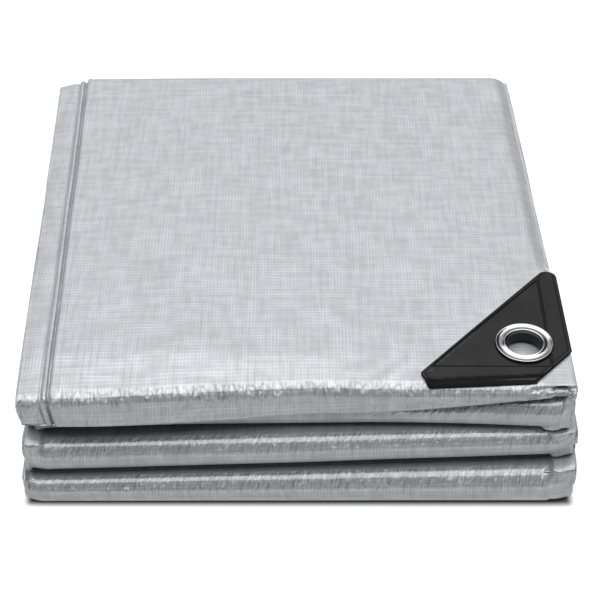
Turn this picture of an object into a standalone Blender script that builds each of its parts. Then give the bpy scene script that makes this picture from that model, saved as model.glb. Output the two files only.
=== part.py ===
"""A silver woven tarp folded to a bundle, with the black patch and metal eyelet of one corner.

The cloth is one long sheet laid back and forth: a top flap that hangs over the front, three
rounded folds at the front and the folds at the back. Shapes are worked out in metres with
Y = 0 at the front crease of the flap, Y running to the back and Z = 0 under the bundle. An
empty then stands the whole part with the middle of its box on the origin.
"""
import math
from collections import namedtuple

import bmesh
import bpy
from mathutils import Vector

# Cloth: thickness of one layer, and its share of the height that the layer takes up
SHEET = 0.0030
FILL = 0.74
LAYERS_A_NOSE = 6

# Outline of the bundle seen from above: the flap's sides at the front, and how far the back
# of the bundle stands to the left of its front
FLAP_LEFT, FLAP_RIGHT = -0.1435, 0.1400
DEPTH = 0.287
SKEW = -0.0085
LAYER_SHIFT = 0.0006

# Heights: the flap's top face, and the stack under the flap at the front left and right
FLAP_TOP = 0.0752
STACK_LEFT, STACK_RIGHT = 0.0718, 0.0702
FRONT_REACH = 0.170

# The top sinks to the left and to the front, and rises a little in the middle
LEFT_FALL, LEFT_FALL_SHARE = 0.028, 0.40
RIM_FALL, RIM_SHARE = 0.030, 0.06
LEFT_FALL_AT_BACK, BACK_BEGINS = 0.4, 0.75
SHOULDER_FALL, SHOULDER_DEPTH = 0.020, 0.030
SHOULDER_FADES, SHOULDER_ENDS = 0.45, 0.70
MIDDLE_RISE = 0.016

# Front folds from the bottom up: the sides of their layers, the height where each one starts
# at its left and right end, and how far its tip stands behind the crease there
Nose = namedtuple("Nose", "left right floor_left floor_right tip_left tip_right tip_power")
NOSES = (
    Nose(-0.1448, 0.1440, 0.0000, 0.0000, -0.0135, -0.0150, 1.0),
    Nose(-0.1433, 0.1430, 0.0200, 0.0280, -0.0105, -0.0090, 1.0),
    Nose(-0.1425, 0.1395, 0.0535, 0.0490, 0.0012, -0.0048, 5.0),
)
END_ROUND, END_SHARE = 0.0032, 0.055

# Back folds: the lowest and highest layer that each one joins, and where its tip stands
Back = namedtuple("Back", "low high tip")
BACKS = (
    Back(0, 1, 0.2830),
    Back(3, 8, 0.2880),
    Back(9, 14, 0.2865),
    Back(15, 16, 0.2850),
    Back(17, 18, 0.2905),
)
FREE_END = 0.2760

# Flap: the crease that it bends over, and how high its hem hangs at the left and the right
CREASE_START, CREASE_RADIUS = 0.0035, 0.0045
CREASE_ANGLE = math.radians(82)
HEM_LEFT, HEM_RIGHT, HEM_POWER = 0.0510, 0.0715, 1.7
HEM_LEAST = 0.0006
HEM_ROUND = 0.0012

# Stepped fold edges along the flap's left side: distance from the edge, and depth
Step = namedtuple("Step", "inset depth")
STEPS = (
    Step(0.0010, 0.0018),
    Step(0.0130, 0.0018),
    Step(0.0138, 0.0009),
    Step(0.0172, 0.0009),
    Step(0.0180, 0.0),
)
STEP_SPREAD = (0.35, 0.70, 0.94)
PLAIN_SPREAD = (0.022, 0.075, 0.22, 0.50, 0.78, 0.925, 0.978)

# Places along the depth where a lower layer and the flap have a row
RUN_PLACES = (0.030, 0.075, 0.130, 0.195, 0.250)
FLAP_PLACES = (0.012, 0.028, 0.055, 0.130, 0.195, 0.250)

# Corner: the edge on which the strip with the eyelet leaves the cloth
CUT_X, CUT_Y, CUT_SLOPE = 0.0626, 0.0045, 1.157
CUT_GAP = 0.0006
STRIP_SPREAD = (0.0, 0.15, 0.33, 0.50, 0.66, 0.82, 1.0)

# Patch: a triangle with its left point and the tip at the corner cut off, a raised rim, and
# a right side that stands a little past the cloth's edge
PATCH_FRONT, PATCH_BACK = 0.0010, 0.0998
PATCH_OVER_FRONT, PATCH_OVER_BACK = 0.0004, 0.0014
POINT_CUT_X, POINT_CUT_Y, POINT_SLANT = 0.0646, 0.0100, 0.0038
TIP_CUT_X, TIP_CUT_Y = 0.0206, 0.0248
PATCH_THICK, PATCH_RIM, PATCH_RIM_WIDTH = 0.0013, 0.0005, 0.0016
PATCH_EDGE, PATCH_EDGE_SHARE = 0.0005, 0.6
POINT_ROUND, BACK_ROUND, TIP_ROUND = 0.0022, 0.0052, 0.0012
ARC_STEPS = 4
BEND_CUTS = 3
PIECE_GAP = 0.0003

# Eyelet: its place, the ring, the washer under the cloth, and the hole through the layers
EYELET_X, EYELET_Y = 0.1155, 0.0315
EYELET_OUTER, EYELET_BORE, EYELET_WALL, EYELET_DOME = 0.0150, 0.0094, 0.0006, 0.0017
RING_LIP, RING_THROAT = 0.0003, 0.0012
HOLE_RADIUS, HOLE_REACH = 0.0103, 0.01
WASHER_OUTER, WASHER_THICK = 0.0140, 0.0009
ROUND_STEPS = 40

FLAP = len(NOSES) * LAYERS_A_NOSE


def smooth(low, high, value):
    """0 below low and 1 above high, with a soft start and end."""
    share = min(max((value - low) / (high - low), 0.0), 1.0)
    return share * share * (3.0 - 2.0 * share)


def mix(first, second, share):
    return first + (second - first) * share


# Heights of the layers

def crown(across, y):
    """Height of the bundle as a share of its full height, across = 0 left to 1 right."""
    left = LEFT_FALL * (1.0 - smooth(0.0, LEFT_FALL_SHARE, across))
    rim = RIM_FALL * (1.0 - smooth(0.0, RIM_SHARE, across))
    front = SHOULDER_FALL * (1.0 - smooth(0.0, SHOULDER_DEPTH, y))
    front *= 1.0 - smooth(SHOULDER_FADES, SHOULDER_ENDS, across)
    left *= mix(1.0, LEFT_FALL_AT_BACK, smooth(BACK_BEGINS, 1.0, y / DEPTH))
    middle = math.sin(math.pi * across) * math.sin(math.pi * min(max(y / DEPTH, 0.0), 1.0))
    return 1.0 - left - rim - front + MIDDLE_RISE * middle


def floors(across, y):
    """Height at which each front fold starts, from the bottom, and the top of the last."""
    near = 1.0 - smooth(0.0, FRONT_REACH, y)
    left = [nose.floor_left for nose in NOSES] + [STACK_LEFT]
    right = [nose.floor_right for nose in NOSES] + [STACK_RIGHT]
    even = [STACK_LEFT * index / len(NOSES) for index in range(len(NOSES) + 1)]
    return [mix(e, mix(a, b, across), near) for e, a, b in zip(even, left, right)]


def layer_at(across, y, layer):
    """Height of a layer's middle, and half its thickness."""
    if layer == FLAP:
        return (FLAP_TOP - SHEET / 2) * crown(across, y), SHEET / 2
    if layer == 0:
        return SHEET / 2, SHEET / 2
    nose, step = divmod(layer, LAYERS_A_NOSE)
    levels = floors(across, y)
    pitch = (levels[nose + 1] - levels[nose]) / LAYERS_A_NOSE
    height = (levels[nose] + (step + 0.5) * pitch) * crown(across, y)
    return height, min(SHEET, FILL * pitch) / 2


def sides_at(y, layer):
    """Left and right edge of a layer, which are a little uneven from layer to layer."""
    lean = SKEW * y / DEPTH
    if layer == FLAP:
        return FLAP_LEFT + lean, FLAP_RIGHT + lean
    nose = NOSES[layer // LAYERS_A_NOSE]
    left = LAYER_SHIFT * math.sin(2.4 * layer)
    right = LAYER_SHIFT * math.cos(1.9 * layer)
    return nose.left + left + lean, nose.right + right + lean


# Rows of the sheet

# A row holds the layer's left and right edge, where the sheet is cut short of the right one,
# how far the stepped edges show, and a function that gives a place across the layer as a
# point (y, z), the direction out of the sheet's first face (y, z) and half a thickness.
Row = namedtuple("Row", "left right cut steps place")


def run_row(layer, y, forward):
    """A row of a lower layer where it lies flat."""
    out = -1.0 if forward else 1.0

    def place(across):
        height, half = layer_at(across, y, layer)
        return y, height, 0.0, out, half

    left, right = sides_at(y, layer)
    return Row(left, right, right, 0.0, place)


def end_round(across):
    """How far a fold draws back near its two ends."""
    return END_ROUND * (1.0 - smooth(0.0, END_SHARE, min(across, 1.0 - across)))


def front_centre(nose, across):
    """Where a front fold starts to turn: its outer radius behind its tip."""
    row = NOSES[nose]
    tip = mix(row.tip_left, row.tip_right, across ** row.tip_power) + end_round(across)
    low, half = layer_at(across, 0.0, nose * LAYERS_A_NOSE)
    high, _ = layer_at(across, 0.0, (nose + 1) * LAYERS_A_NOSE - 1)
    return tip + half + (high - low) / 2


def back_centre(back, across):
    """Where a back fold starts to turn."""
    low, half = layer_at(across, DEPTH, back.low)
    high, _ = layer_at(across, DEPTH, back.high)
    return back.tip - end_round(across) - half - (high - low) / 2


def turn_rows(first, second, at_front):
    """Rows of the half turn from one layer to another."""
    low, high = min(first, second), max(first, second)
    back = next((row for row in BACKS if row.low <= low and high <= row.high), None)
    steps = 4 + abs(first - second)
    bulge = -1.0 if at_front else 1.0
    downward = 1.0 if first > second else -1.0
    facing = downward * bulge
    rows = []
    for index in range(steps + 1):
        turn = math.pi * index / steps
        share = (1.0 - math.cos(turn)) / 2

        def place(across, turn=turn, share=share):
            y = front_centre(low // LAYERS_A_NOSE, across) if at_front else back_centre(back, across)
            start, start_half = layer_at(across, y, first)
            end, end_half = layer_at(across, y, second)
            radius = (start - end) / 2
            point_y = y + bulge * abs(radius) * math.sin(turn)
            point_z = (start + end) / 2 + radius * math.cos(turn)
            out_y = facing * bulge * math.sin(turn)
            out_z = facing * downward * math.cos(turn)
            return point_y, point_z, out_y, out_z, mix(start_half, end_half, share)

        y = 0.0 if at_front else DEPTH
        left, right = (mix(a, b, share) for a, b in zip(sides_at(y, first), sides_at(y, second)))
        steps_shown = 1.0 - share if first == FLAP else 0.0
        rows.append(Row(left, right, right, steps_shown, place))
    return rows


# Flap

def over_crease(across, along, lift):
    """Point (y, z) of the flap and its direction out. along is measured over the crease."""
    height, _ = layer_at(across, max(along, CREASE_START), FLAP)
    past = max(CREASE_START - along, 0.0)
    turn = min(past / CREASE_RADIUS, CREASE_ANGLE)
    hang = past - turn * CREASE_RADIUS
    y = max(along, CREASE_START) - CREASE_RADIUS * math.sin(turn) - hang * math.cos(turn)
    z = height - CREASE_RADIUS * (1.0 - math.cos(turn)) - hang * math.sin(turn)
    return y - lift * math.sin(turn), z + lift * math.cos(turn), -math.sin(turn), math.cos(turn)


def bend_end():
    return CREASE_START - CREASE_RADIUS * CREASE_ANGLE


def hem_along(across):
    """Where the hem lies, measured over the crease: at a set height in front."""
    _, start, _, _ = over_crease(across, bend_end(), 0.0)
    hang = (start - mix(HEM_LEFT, HEM_RIGHT, across ** HEM_POWER)) / math.sin(CREASE_ANGLE)
    return bend_end() - max(hang, HEM_LEAST)


def cut_edge(along):
    """The flap's right edge where the corner strip takes over."""
    _, right = sides_at(max(along, 0.0), FLAP)
    return min(right, CUT_X + max(along - CUT_Y, 0.0) / CUT_SLOPE)


def flap_row(along_of, thin=1.0):
    """A row of the flap. along_of gives its distance over the crease for a place across."""

    def place(across):
        y, z, out_y, out_z = over_crease(across, along_of(across), 0.0)
        return y, z, out_y, out_z, thin * SHEET / 2

    middle = along_of(0.3)
    left, right = sides_at(max(middle, 0.0), FLAP)
    return Row(left, right, cut_edge(middle), 1.0, place)


def cut_meets_edge():
    """Depth at which the cut reaches the flap's right edge."""
    lean = SKEW / DEPTH
    return (CUT_Y + CUT_SLOPE * (FLAP_RIGHT - CUT_X)) / (1.0 - CUT_SLOPE * lean)


def flap_rows():
    """Rows of the flap from its hem to the start of the back turn."""
    rows = [
        flap_row(hem_along, 0.45),
        flap_row(lambda across: hem_along(across) + HEM_ROUND),
        flap_row(lambda across: mix(hem_along(across) + HEM_ROUND, bend_end(), 0.5)),
    ]
    for share in (1.0, 0.66, 0.33, 0.0):
        along = CREASE_START - CREASE_RADIUS * CREASE_ANGLE * share
        rows.append(flap_row(lambda across, along=along: along))
    places = sorted(FLAP_PLACES + (CUT_Y, cut_meets_edge()))
    return rows + [flap_row(lambda across, along=along: along) for along in places]


# Sheet

def fold_order():
    """Layers in the order in which the sheet runs through them, from the flap down."""
    order = [FLAP]
    for strand in range(LAYERS_A_NOSE // 2):
        pairs = []
        for nose in reversed(range(len(NOSES))):
            first = nose * LAYERS_A_NOSE
            pairs += [first + LAYERS_A_NOSE - 1 - strand, first + strand]
        order += pairs if strand % 2 == 0 else reversed(pairs)
    return order


def sheet_rows():
    """Every row of the sheet, from the hem of the flap to its free end at the back."""
    order = fold_order()
    rows = flap_rows()
    at_front = False
    for first, second in zip(order, order[1:]):
        rows += turn_rows(first, second, at_front)
        places = RUN_PLACES if at_front else reversed(RUN_PLACES)
        rows += [run_row(second, y, not at_front) for y in places]
        at_front = not at_front
    rows.append(run_row(order[-1], FREE_END, False))
    return rows


def ring_points(row):
    """The sheet's outline at a row: first face from left to right, then the other one back."""
    width = row.cut - row.left
    edge = SHEET / 2
    plain = [edge] + [share * width for share in PLAIN_SPREAD] + [width - edge]
    stepped = [step.inset for step in STEPS]
    rest = width - edge - stepped[-1]
    stepped += [stepped[-1] + share * rest for share in STEP_SPREAD] + [width - edge]
    depths = [step.depth for step in STEPS] + [0.0] * (len(plain) - len(STEPS))

    def point(inset, side, depth):
        x = row.left + inset
        y, z, out_y, out_z, half = row.place((x - row.left) / (row.right - row.left))
        lift = half * (side - depth / (SHEET / 2))
        return Vector((x, y + out_y * lift, z + out_z * lift))

    near = [mix(a, b, row.steps) for a, b in zip(plain, stepped)]
    first = [point(inset, 1.0, row.steps * depth) for inset, depth in zip(near, depths)]
    other = [point(inset, -1.0, 0.0) for inset in reversed(plain)]
    left_tip = point(0.0, 0.0, row.steps * edge / 2)
    return [left_tip] + first + [point(width, 0.0, 0.0)] + other


# Meshes

def new_object(name, mesh_builder, material):
    """An object of one closed mesh, with its faces turned out."""
    bmesh.ops.recalc_face_normals(mesh_builder, faces=mesh_builder.faces)
    mesh = bpy.data.meshes.new(name)
    mesh_builder.to_mesh(mesh)
    mesh_builder.free()
    mesh.materials.append(material)
    body = bpy.data.objects.new(name, mesh)
    bpy.context.collection.objects.link(body)
    return body


def loft(rings, closing="flat"):
    """Closed rings of points joined one to the next. The ends are closed flat, or as the end
    of a thin band whose ring starts at its tip or at its corner, or the loft runs round."""
    builder = bmesh.new()
    loops = [[builder.verts.new(point) for point in ring] for ring in rings]
    following = loops[1:] + loops[:1] if closing == "round" else loops[1:]
    for near, far in zip(loops, following):
        for index in range(len(near)):
            after = (index + 1) % len(near)
            builder.faces.new((near[index], near[after], far[after], far[index]))
    for loop in () if closing == "round" else (loops[0], loops[-1]):
        if closing == "flat":
            builder.faces.new(loop)
        else:
            close_band(builder, loop, closing)
    bmesh.ops.triangulate(builder, faces=builder.faces)
    return builder


def close_band(builder, loop, closing):
    """Closes a thin band's end with faces from its one side straight across to the other."""
    count = len(loop)
    partner = count if closing == "tip" else count - 1
    for index in range(count // 2 - (0 if closing == "tip" else 1)):
        corners = [loop[index], loop[index + 1]]
        corners += [loop[(partner - index - 1) % count], loop[(partner - index) % count]]
        builder.faces.new(list(dict.fromkeys(corners)))


def turned(profile, centre):
    """A ring turned from a closed profile of (radius, height) about a standing axis."""
    rings = []
    for index in range(ROUND_STEPS):
        angle = 2.0 * math.pi * index / ROUND_STEPS
        across, along = math.cos(angle), math.sin(angle)
        rings.append([centre + Vector((r * across, r * along, z)) for r, z in profile])
    return loft(rings, "round")


def cut_hole(body, radius, centre):
    """A round hole through a flat piece."""
    rings = []
    for z in (-HOLE_REACH, HOLE_REACH):
        angles = [2.0 * math.pi * index / ROUND_STEPS for index in range(ROUND_STEPS)]
        rings.append([
            centre + Vector((radius * math.cos(angle), radius * math.sin(angle), z))
            for angle in angles
        ])
    cutter = new_object(body.name + "_hole", loft(rings), body.data.materials[0])
    cutter.hide_render = True
    cutter.display_type = "WIRE"
    hole = body.modifiers.new("hole", "BOOLEAN")
    hole.object = cutter
    hole.operation = "DIFFERENCE"
    hole.solver = "EXACT"
    return cutter


def finish(name, colour, roughness, metallic=0.0):
    """A plain material."""
    material = bpy.data.materials.new(name)
    material.use_nodes = True
    shader = material.node_tree.nodes["Principled BSDF"]
    shader.inputs["Base Color"].default_value = (*colour, 1.0)
    shader.inputs["Roughness"].default_value = roughness
    shader.inputs["Metallic"].default_value = metallic
    return material


# Pieces

def flap_share(x, y):
    left, right = sides_at(max(y, 0.0), FLAP)
    return (x - left) / (right - left)


def corner_strip(material):
    """The corner of the flap, with the front hem and the hole for the eyelet."""
    rings = []
    lean = SKEW / DEPTH
    left = CUT_X + CUT_GAP
    for share in STRIP_SPREAD:
        reach = share * (FLAP_RIGHT - left)
        back = (CUT_Y + CUT_SLOPE * reach) / (1.0 - CUT_SLOPE * lean * share) - CUT_GAP / 2
        hem = hem_along(flap_share(left + reach, 0.0))
        places = [hem] + [mix(bend_end(), CREASE_START, part) for part in (0.0, 0.5, 1.0)]
        places += [mix(CREASE_START, back, part) for part in (0.5, 1.0)]

        def point(along, lift):
            x = left + share * (FLAP_RIGHT + lean * max(along, 0.0) - left)
            y, z, _, _ = over_crease(flap_share(x, along), along, lift)
            return Vector((x, y, z))

        top = [point(along, SHEET / 2) for along in places]
        rings.append(top + [point(along, -SHEET / 2) for along in reversed(places)])
    body = new_object("corner_strip", loft(rings, "corner"), material)
    return body, cut_hole(body, HOLE_RADIUS, eyelet_centre())


def eyelet_centre():
    _, z, _, _ = over_crease(flap_share(EYELET_X, EYELET_Y), EYELET_Y, 0.0)
    return Vector((EYELET_X, EYELET_Y, z))


def patch_outline(inset):
    """The patch's outline drawn in by inset, as points (x, distance over the crease)."""
    lean = SKEW / DEPTH
    corners = (
        (POINT_CUT_X, PATCH_FRONT, POINT_ROUND),
        (FLAP_RIGHT - TIP_CUT_X, PATCH_FRONT, TIP_ROUND),
        (FLAP_RIGHT + PATCH_OVER_FRONT + lean * TIP_CUT_Y, PATCH_FRONT + TIP_CUT_Y, TIP_ROUND),
        (FLAP_RIGHT + PATCH_OVER_BACK + lean * PATCH_BACK, PATCH_BACK, BACK_ROUND),
        (POINT_CUT_X - POINT_SLANT, POINT_CUT_Y, POINT_ROUND),
    )
    points = []
    for index, (x, y, round_to) in enumerate(corners):
        here = Vector((x, y))
        into = (here - Vector(corners[index - 1][:2])).normalized()
        away = (Vector(corners[(index + 1) % len(corners)][:2]) - here).normalized()
        normals = [Vector((-d.y, d.x)) for d in (into, away)]
        bisector = (normals[0] + normals[1]).normalized()
        depth = 1.0 / bisector.dot(normals[0])
        radius = max(round_to - inset, TIP_ROUND / 4)
        middle = here + bisector * depth * (inset + radius)
        start = math.atan2(-normals[0].y, -normals[0].x)
        sweep = (math.atan2(-normals[1].y, -normals[1].x) - start) % (2.0 * math.pi)
        for step in range(ARC_STEPS + 1):
            angle = start + sweep * step / ARC_STEPS
            points.append(middle + radius * Vector((math.cos(angle), math.sin(angle))))
    return points


def corner_patch(material):
    """The patch as a flat plate, then bent over the crease with the flap under it."""
    top = PATCH_THICK + PATCH_RIM
    profile = (
        (0.0, 0.0),
        (0.0, PATCH_EDGE_SHARE * PATCH_THICK),
        (PATCH_EDGE, top),
        (PATCH_RIM_WIDTH, top),
        (PATCH_RIM_WIDTH + PATCH_EDGE, PATCH_THICK),
    )
    builder = loft([[(*point, z) for point in patch_outline(inset)] for inset, z in profile])
    for step in range(BEND_CUTS + 1):
        along = mix(PATCH_FRONT, CREASE_START, (step + 0.5) / (BEND_CUTS + 0.5))
        geometry = builder.verts[:] + builder.edges[:] + builder.faces[:]
        bmesh.ops.bisect_plane(
            builder, geom=geometry, dist=1e-7, plane_co=(0.0, along, 0.0), plane_no=(0.0, 1.0, 0.0)
        )
    bmesh.ops.triangulate(builder, faces=builder.faces)
    for vertex in builder.verts:
        x, along, z = vertex.co
        lift = SHEET / 2 + PIECE_GAP + z
        y, z, _, _ = over_crease(flap_share(x, along), along, lift)
        vertex.co = (x, y, z)
    body = new_object("corner_patch", builder, material)
    return body, cut_hole(body, HOLE_RADIUS, eyelet_centre())


def eyelet_ring(material):
    """The ring on the patch, with the barrel that goes down through the cloth."""
    seat = SHEET / 2 + 2 * PIECE_GAP + PATCH_THICK
    foot = -SHEET / 2 - 2 * PIECE_GAP - WASHER_THICK
    wall = EYELET_BORE + EYELET_WALL
    flange = EYELET_OUTER - wall
    profile = [(wall, foot), (wall, seat), (EYELET_OUTER, seat)]
    for step in range(1, 8):
        turn = math.pi * step / 8
        radius = wall + flange * (1.0 + math.cos(turn)) / 2
        profile.append((radius, seat + RING_LIP + EYELET_DOME * math.sin(turn) ** 0.8))
    profile += [(EYELET_BORE, seat - RING_THROAT), (EYELET_BORE, foot)]
    return new_object("eyelet_ring", turned(profile, eyelet_centre()), material)


def eyelet_washer(material):
    """The washer under the cloth, round which the barrel is set."""
    top = -SHEET / 2 - PIECE_GAP
    low = top - WASHER_THICK
    inner = EYELET_BORE + EYELET_WALL + PIECE_GAP
    profile = (
        (inner, low),
        (inner, top),
        (WASHER_OUTER, top),
        (WASHER_OUTER, top - WASHER_THICK / 2),
        ((inner + WASHER_OUTER) / 2, low),
    )
    return new_object("eyelet_washer", turned(profile, eyelet_centre()), material)


def stand_on_origin(bodies, guides):
    """Hangs every piece from one empty, which puts the middle of the box on the origin."""
    bpy.context.view_layer.update()
    corners = [Vector(corner) for body in bodies for corner in body.bound_box]
    low = Vector([min(corner[axis] for corner in corners) for axis in range(3)])
    high = Vector([max(corner[axis] for corner in corners) for axis in range(3)])
    foot = bpy.data.objects.new("tarp_origin", None)
    bpy.context.collection.objects.link(foot)
    foot.location = (-(low.x + high.x) / 2, -(low.y + high.y) / 2, -low.z)
    for body in bodies + guides:
        body.parent = foot


def main():
    for old in list(bpy.data.objects):
        bpy.data.objects.remove(old)
    cloth = finish("silver_laminate", (0.42, 0.44, 0.46), 0.38)
    black = finish("black_plastic", (0.015, 0.015, 0.016), 0.42)
    metal = finish("polished_metal", (0.78, 0.78, 0.78), 0.18, 1.0)
    rings = [ring_points(row) for row in sheet_rows()]
    sheet = new_object("tarp_cloth", loft(rings, "tip"), cloth)
    strip, strip_hole = corner_strip(cloth)
    patch, patch_hole = corner_patch(black)
    ring = eyelet_ring(metal)
    washer = eyelet_washer(metal)
    for body in (sheet, ring, washer):
        body.data.shade_smooth()
        body.data.set_sharp_from_angle(angle=math.radians(40))
    stand_on_origin([sheet, strip, patch, ring, washer], [strip_hole, patch_hole])


main()
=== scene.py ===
"""Looks of the folded silver tarp: woven laminate cloth, black corner patch and metal eyelet.

The cloth is one fine mesh on the same back-and-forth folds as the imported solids. It is worked
out in the folds' own frame, with Y = 0 at the front crease of the top flap and Z = 0 under
the bundle, and is then moved to the frame by the place of the eyelet.
"""
import math
from collections import namedtuple

import bmesh
import bpy
from bpy.props import FloatProperty, FloatVectorProperty, PointerProperty
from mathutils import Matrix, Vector, noise


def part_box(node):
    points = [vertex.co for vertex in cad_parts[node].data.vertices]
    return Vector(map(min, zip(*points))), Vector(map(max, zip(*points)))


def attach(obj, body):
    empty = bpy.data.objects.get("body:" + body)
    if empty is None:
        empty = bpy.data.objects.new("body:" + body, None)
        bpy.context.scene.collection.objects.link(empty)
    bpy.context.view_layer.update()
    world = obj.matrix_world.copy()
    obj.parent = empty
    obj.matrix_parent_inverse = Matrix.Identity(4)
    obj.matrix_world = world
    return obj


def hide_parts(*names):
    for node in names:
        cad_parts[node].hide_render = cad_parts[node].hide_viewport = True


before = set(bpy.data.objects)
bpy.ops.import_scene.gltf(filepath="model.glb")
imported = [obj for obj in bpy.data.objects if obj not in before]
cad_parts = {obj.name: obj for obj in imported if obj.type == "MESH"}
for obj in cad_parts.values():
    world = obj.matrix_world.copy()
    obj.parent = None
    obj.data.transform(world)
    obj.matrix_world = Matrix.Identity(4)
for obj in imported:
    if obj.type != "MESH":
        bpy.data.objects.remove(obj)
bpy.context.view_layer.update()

bl_info = {
    "name": "Folded tarp looks",
    "version": (1, 0, 0),
    "blender": (4, 5, 0),
    "location": "3D Viewport > Sidebar > Tarp",
    "description": "Dresses the packed folded tarp with cloth, patch, eyelet, floor and light",
    "category": "Object",
}

# Cloth: thickness of one layer, and its share of the height that the layer takes up
SHEET = 0.0030
FILL = 0.74
LAYERS_A_NOSE = 6

# Outline of the bundle from above, and how far its back stands to the left of its front
FLAP_LEFT, FLAP_RIGHT = -0.1435, 0.1400
DEPTH = 0.287
SKEW = -0.0085

# Side edges of the layers: a small shift of each one, a wave with the folds, and how far the
# front folds draw in at their middle
LAYER_SHIFT, LEFT_SHIFT_TURN, RIGHT_SHIFT_TURN = 0.0006, 2.4, 1.9
SIDE_WAVE = 0.0002
WAIST = 0.0022

# Heights: the flap's top face, and the stack under the flap at the front left and right
FLAP_TOP = 0.0752
STACK_LEFT, STACK_RIGHT = 0.0718, 0.0702
FRONT_REACH = 0.170

# The top sinks to the left and to the front, rises a little in the middle, and rolls down
# along its right edge behind the patch
LEFT_FALL, LEFT_FALL_SHARE = 0.028, 0.40
RIM_FALL, RIM_SHARE = 0.030, 0.06
LEFT_FALL_AT_BACK, BACK_BEGINS = 0.4, 0.75
SHOULDER_FALL, SHOULDER_DEPTH = 0.020, 0.030
SHOULDER_FADES, SHOULDER_ENDS = 0.45, 0.70
MIDDLE_RISE = 0.016
ROLL_DROP, ROLL_WIDTH = 0.0060, 0.0100
ROLL_FROM, ROLL_TO = 0.088, 0.106

# Front folds from the bottom up: sides of their layers, the height where each one starts at
# its left and right end, and how far its tip stands behind the crease there
Nose = namedtuple("Nose", "left right floor_left floor_right tip_left tip_right tip_power")
NOSES = (
    Nose(-0.1448, 0.1440, 0.0000, 0.0000, -0.0112, -0.0128, 1.0),
    Nose(-0.1433, 0.1430, 0.0200, 0.0285, -0.0080, -0.0045, 2.0),
    Nose(-0.1425, 0.1395, 0.0444, 0.0466, 0.0020, -0.0052, 4.0),
)

# How far the front and back folds draw back at their ends, and over which share of them
END_ROUND, END_SHARE = 0.0020, 0.035
BACK_ROUND, BACK_SHARE = 0.0016, 0.030

# Where the cloth closes the gap over each front fold: width of that band at both ends, how
# square it makes the folds under and over it, and how far it leans as they turn away
Band = namedtuple("Band", "left right")
BANDS = (Band(0.0036, 0.0138), Band(0.0110, 0.0158), Band(0.0068, 0.0062))
BAND_EDGE = 0.0020
BAND_FULL_UNDER, BAND_FULL_OVER = 3.4, 1.4
BAND_LEAN, BAND_LEAN_FROM = 0.85, 0.35

# Open gap over each front fold: its height at both ends, and how far back it reaches
Gap = namedtuple("Gap", "left right")
GAPS = (Gap(0.0030, 0.0036), Gap(0.0024, 0.0003), Gap(0.0160, 0.0035))
GAP_NEAR, GAP_FAR = 0.012, 0.050

# Back folds: the lowest and highest layer that each one joins, and where its tip stands
Back = namedtuple("Back", "low high tip")
BACKS = (
    Back(0, 1, 0.2830),
    Back(3, 8, 0.2880),
    Back(9, 14, 0.2865),
    Back(15, 16, 0.2850),
    Back(17, 18, 0.2905),
)
FREE_END = 0.2760

# Flap: where it starts to bend over the crease and how round, tighter at the front right tip
BEND_START, BEND_RADIUS = 0.0062, 0.0068
TIP_BEND_START, TIP_BEND_RADIUS = 0.0035, 0.0045
TIP_BEGINS, TIP_FADE = 0.915, 0.030
CREASE_ANGLE, HANG_CURL = math.radians(80), -8.0
HANG_ANGLE = CREASE_ANGLE - 0.06

# The hem: how high it hangs at the left and the right, its least length past the crease, its
# roundness, and how the flap narrows in front
HEM_LEFT, HEM_RIGHT, HEM_POWER = 0.0541, 0.0708, 2.35
HEM_LEAST = 0.0006
HEM_ROUND, HEM_THIN = 0.0012, (0.30, 0.75)
HEM_TAPER, HEM_TAPER_FROM = 0.0032, -0.022
TIP_TAPER, TIP_TAPER_FROM, TIP_TAPER_TO = 0.0050, 0.0005, -0.0045

# The crease bows forward at the left and back in the middle
BOW_LEFT, BOW_FROM, BOW_TO = -0.0028, 0.10, 0.40
BOW_MIDDLE, BOW_PLACE, BOW_SPREAD = 0.0022, 0.52, 0.12
BOW_REACH = 0.030

# Stepped fold edges on the flap's left side: distance from the edge, and depth there. Some
# of them end a little before the back fold, and all wander a little
Ledge = namedtuple("Ledge", "inset depth")
LEDGES = [Ledge(*row) for row in (
    (0.0009, 0.00180), (0.0016, 0.00176), (0.0021, 0.00174), (0.0026, 0.00172),
    (0.0034, 0.00168), (0.0070, 0.00166), (0.0100, 0.00210), (0.0112, 0.00230),
    (0.0120, 0.00320), (0.0124, 0.00300), (0.0129, 0.00140), (0.0141, 0.00084),
    (0.0144, 0.00110), (0.0152, 0.00130), (0.0161, 0.00310), (0.0164, 0.00310),
    (0.0170, 0.00150), (0.0177, 0.00022), (0.0182, -0.00006), (0.0192, -0.00014),
    (0.0204, 0.00004), (0.0210, 0.00026), (0.0216, 0.00006), (0.0226, 0.00000),
)]
LEDGE_ENDS = (0.0133, 0.0171)
LEDGE_BACK = 0.0006
LEDGE_WANDER, WANDER_LENGTH = 0.0004, 0.060
WANDER_FROM, WANDER_TO = 0.002, 0.030

# Line of the turned-in edge at the flap's front left corner
EDGE_LINE_X, EDGE_LINE_WIDTH, EDGE_LINE_DEPTH, EDGE_LINE_REACH = -0.1414, 0.0004, 0.0008, 0.006

# Eyelet: its place on the flap, its radii and wall, its rolled edges and valley, the fade and
#  colour of the painted shade inside its barrel, its washer, and the hole that the cloth and the
#  patch have for it
EYELET_X, EYELET_Y = 0.1155, 0.0315
EYELET_OUTER, EYELET_BORE, EYELET_WALL = 0.0150, 0.0094, 0.0006
OUTER_ROLL, INNER_ROLL, VALLEY_DEPTH = 0.00060, 0.0009, 0.0008
BARREL_FADE, BARREL_PAINTED_SHADE = 0.0008, (0.05, 0.05, 0.052, 1.0)
WASHER_THICK = 0.0009
HOLE_RADIUS = 0.0103
HOLE_AROUND = 0.0180

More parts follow.
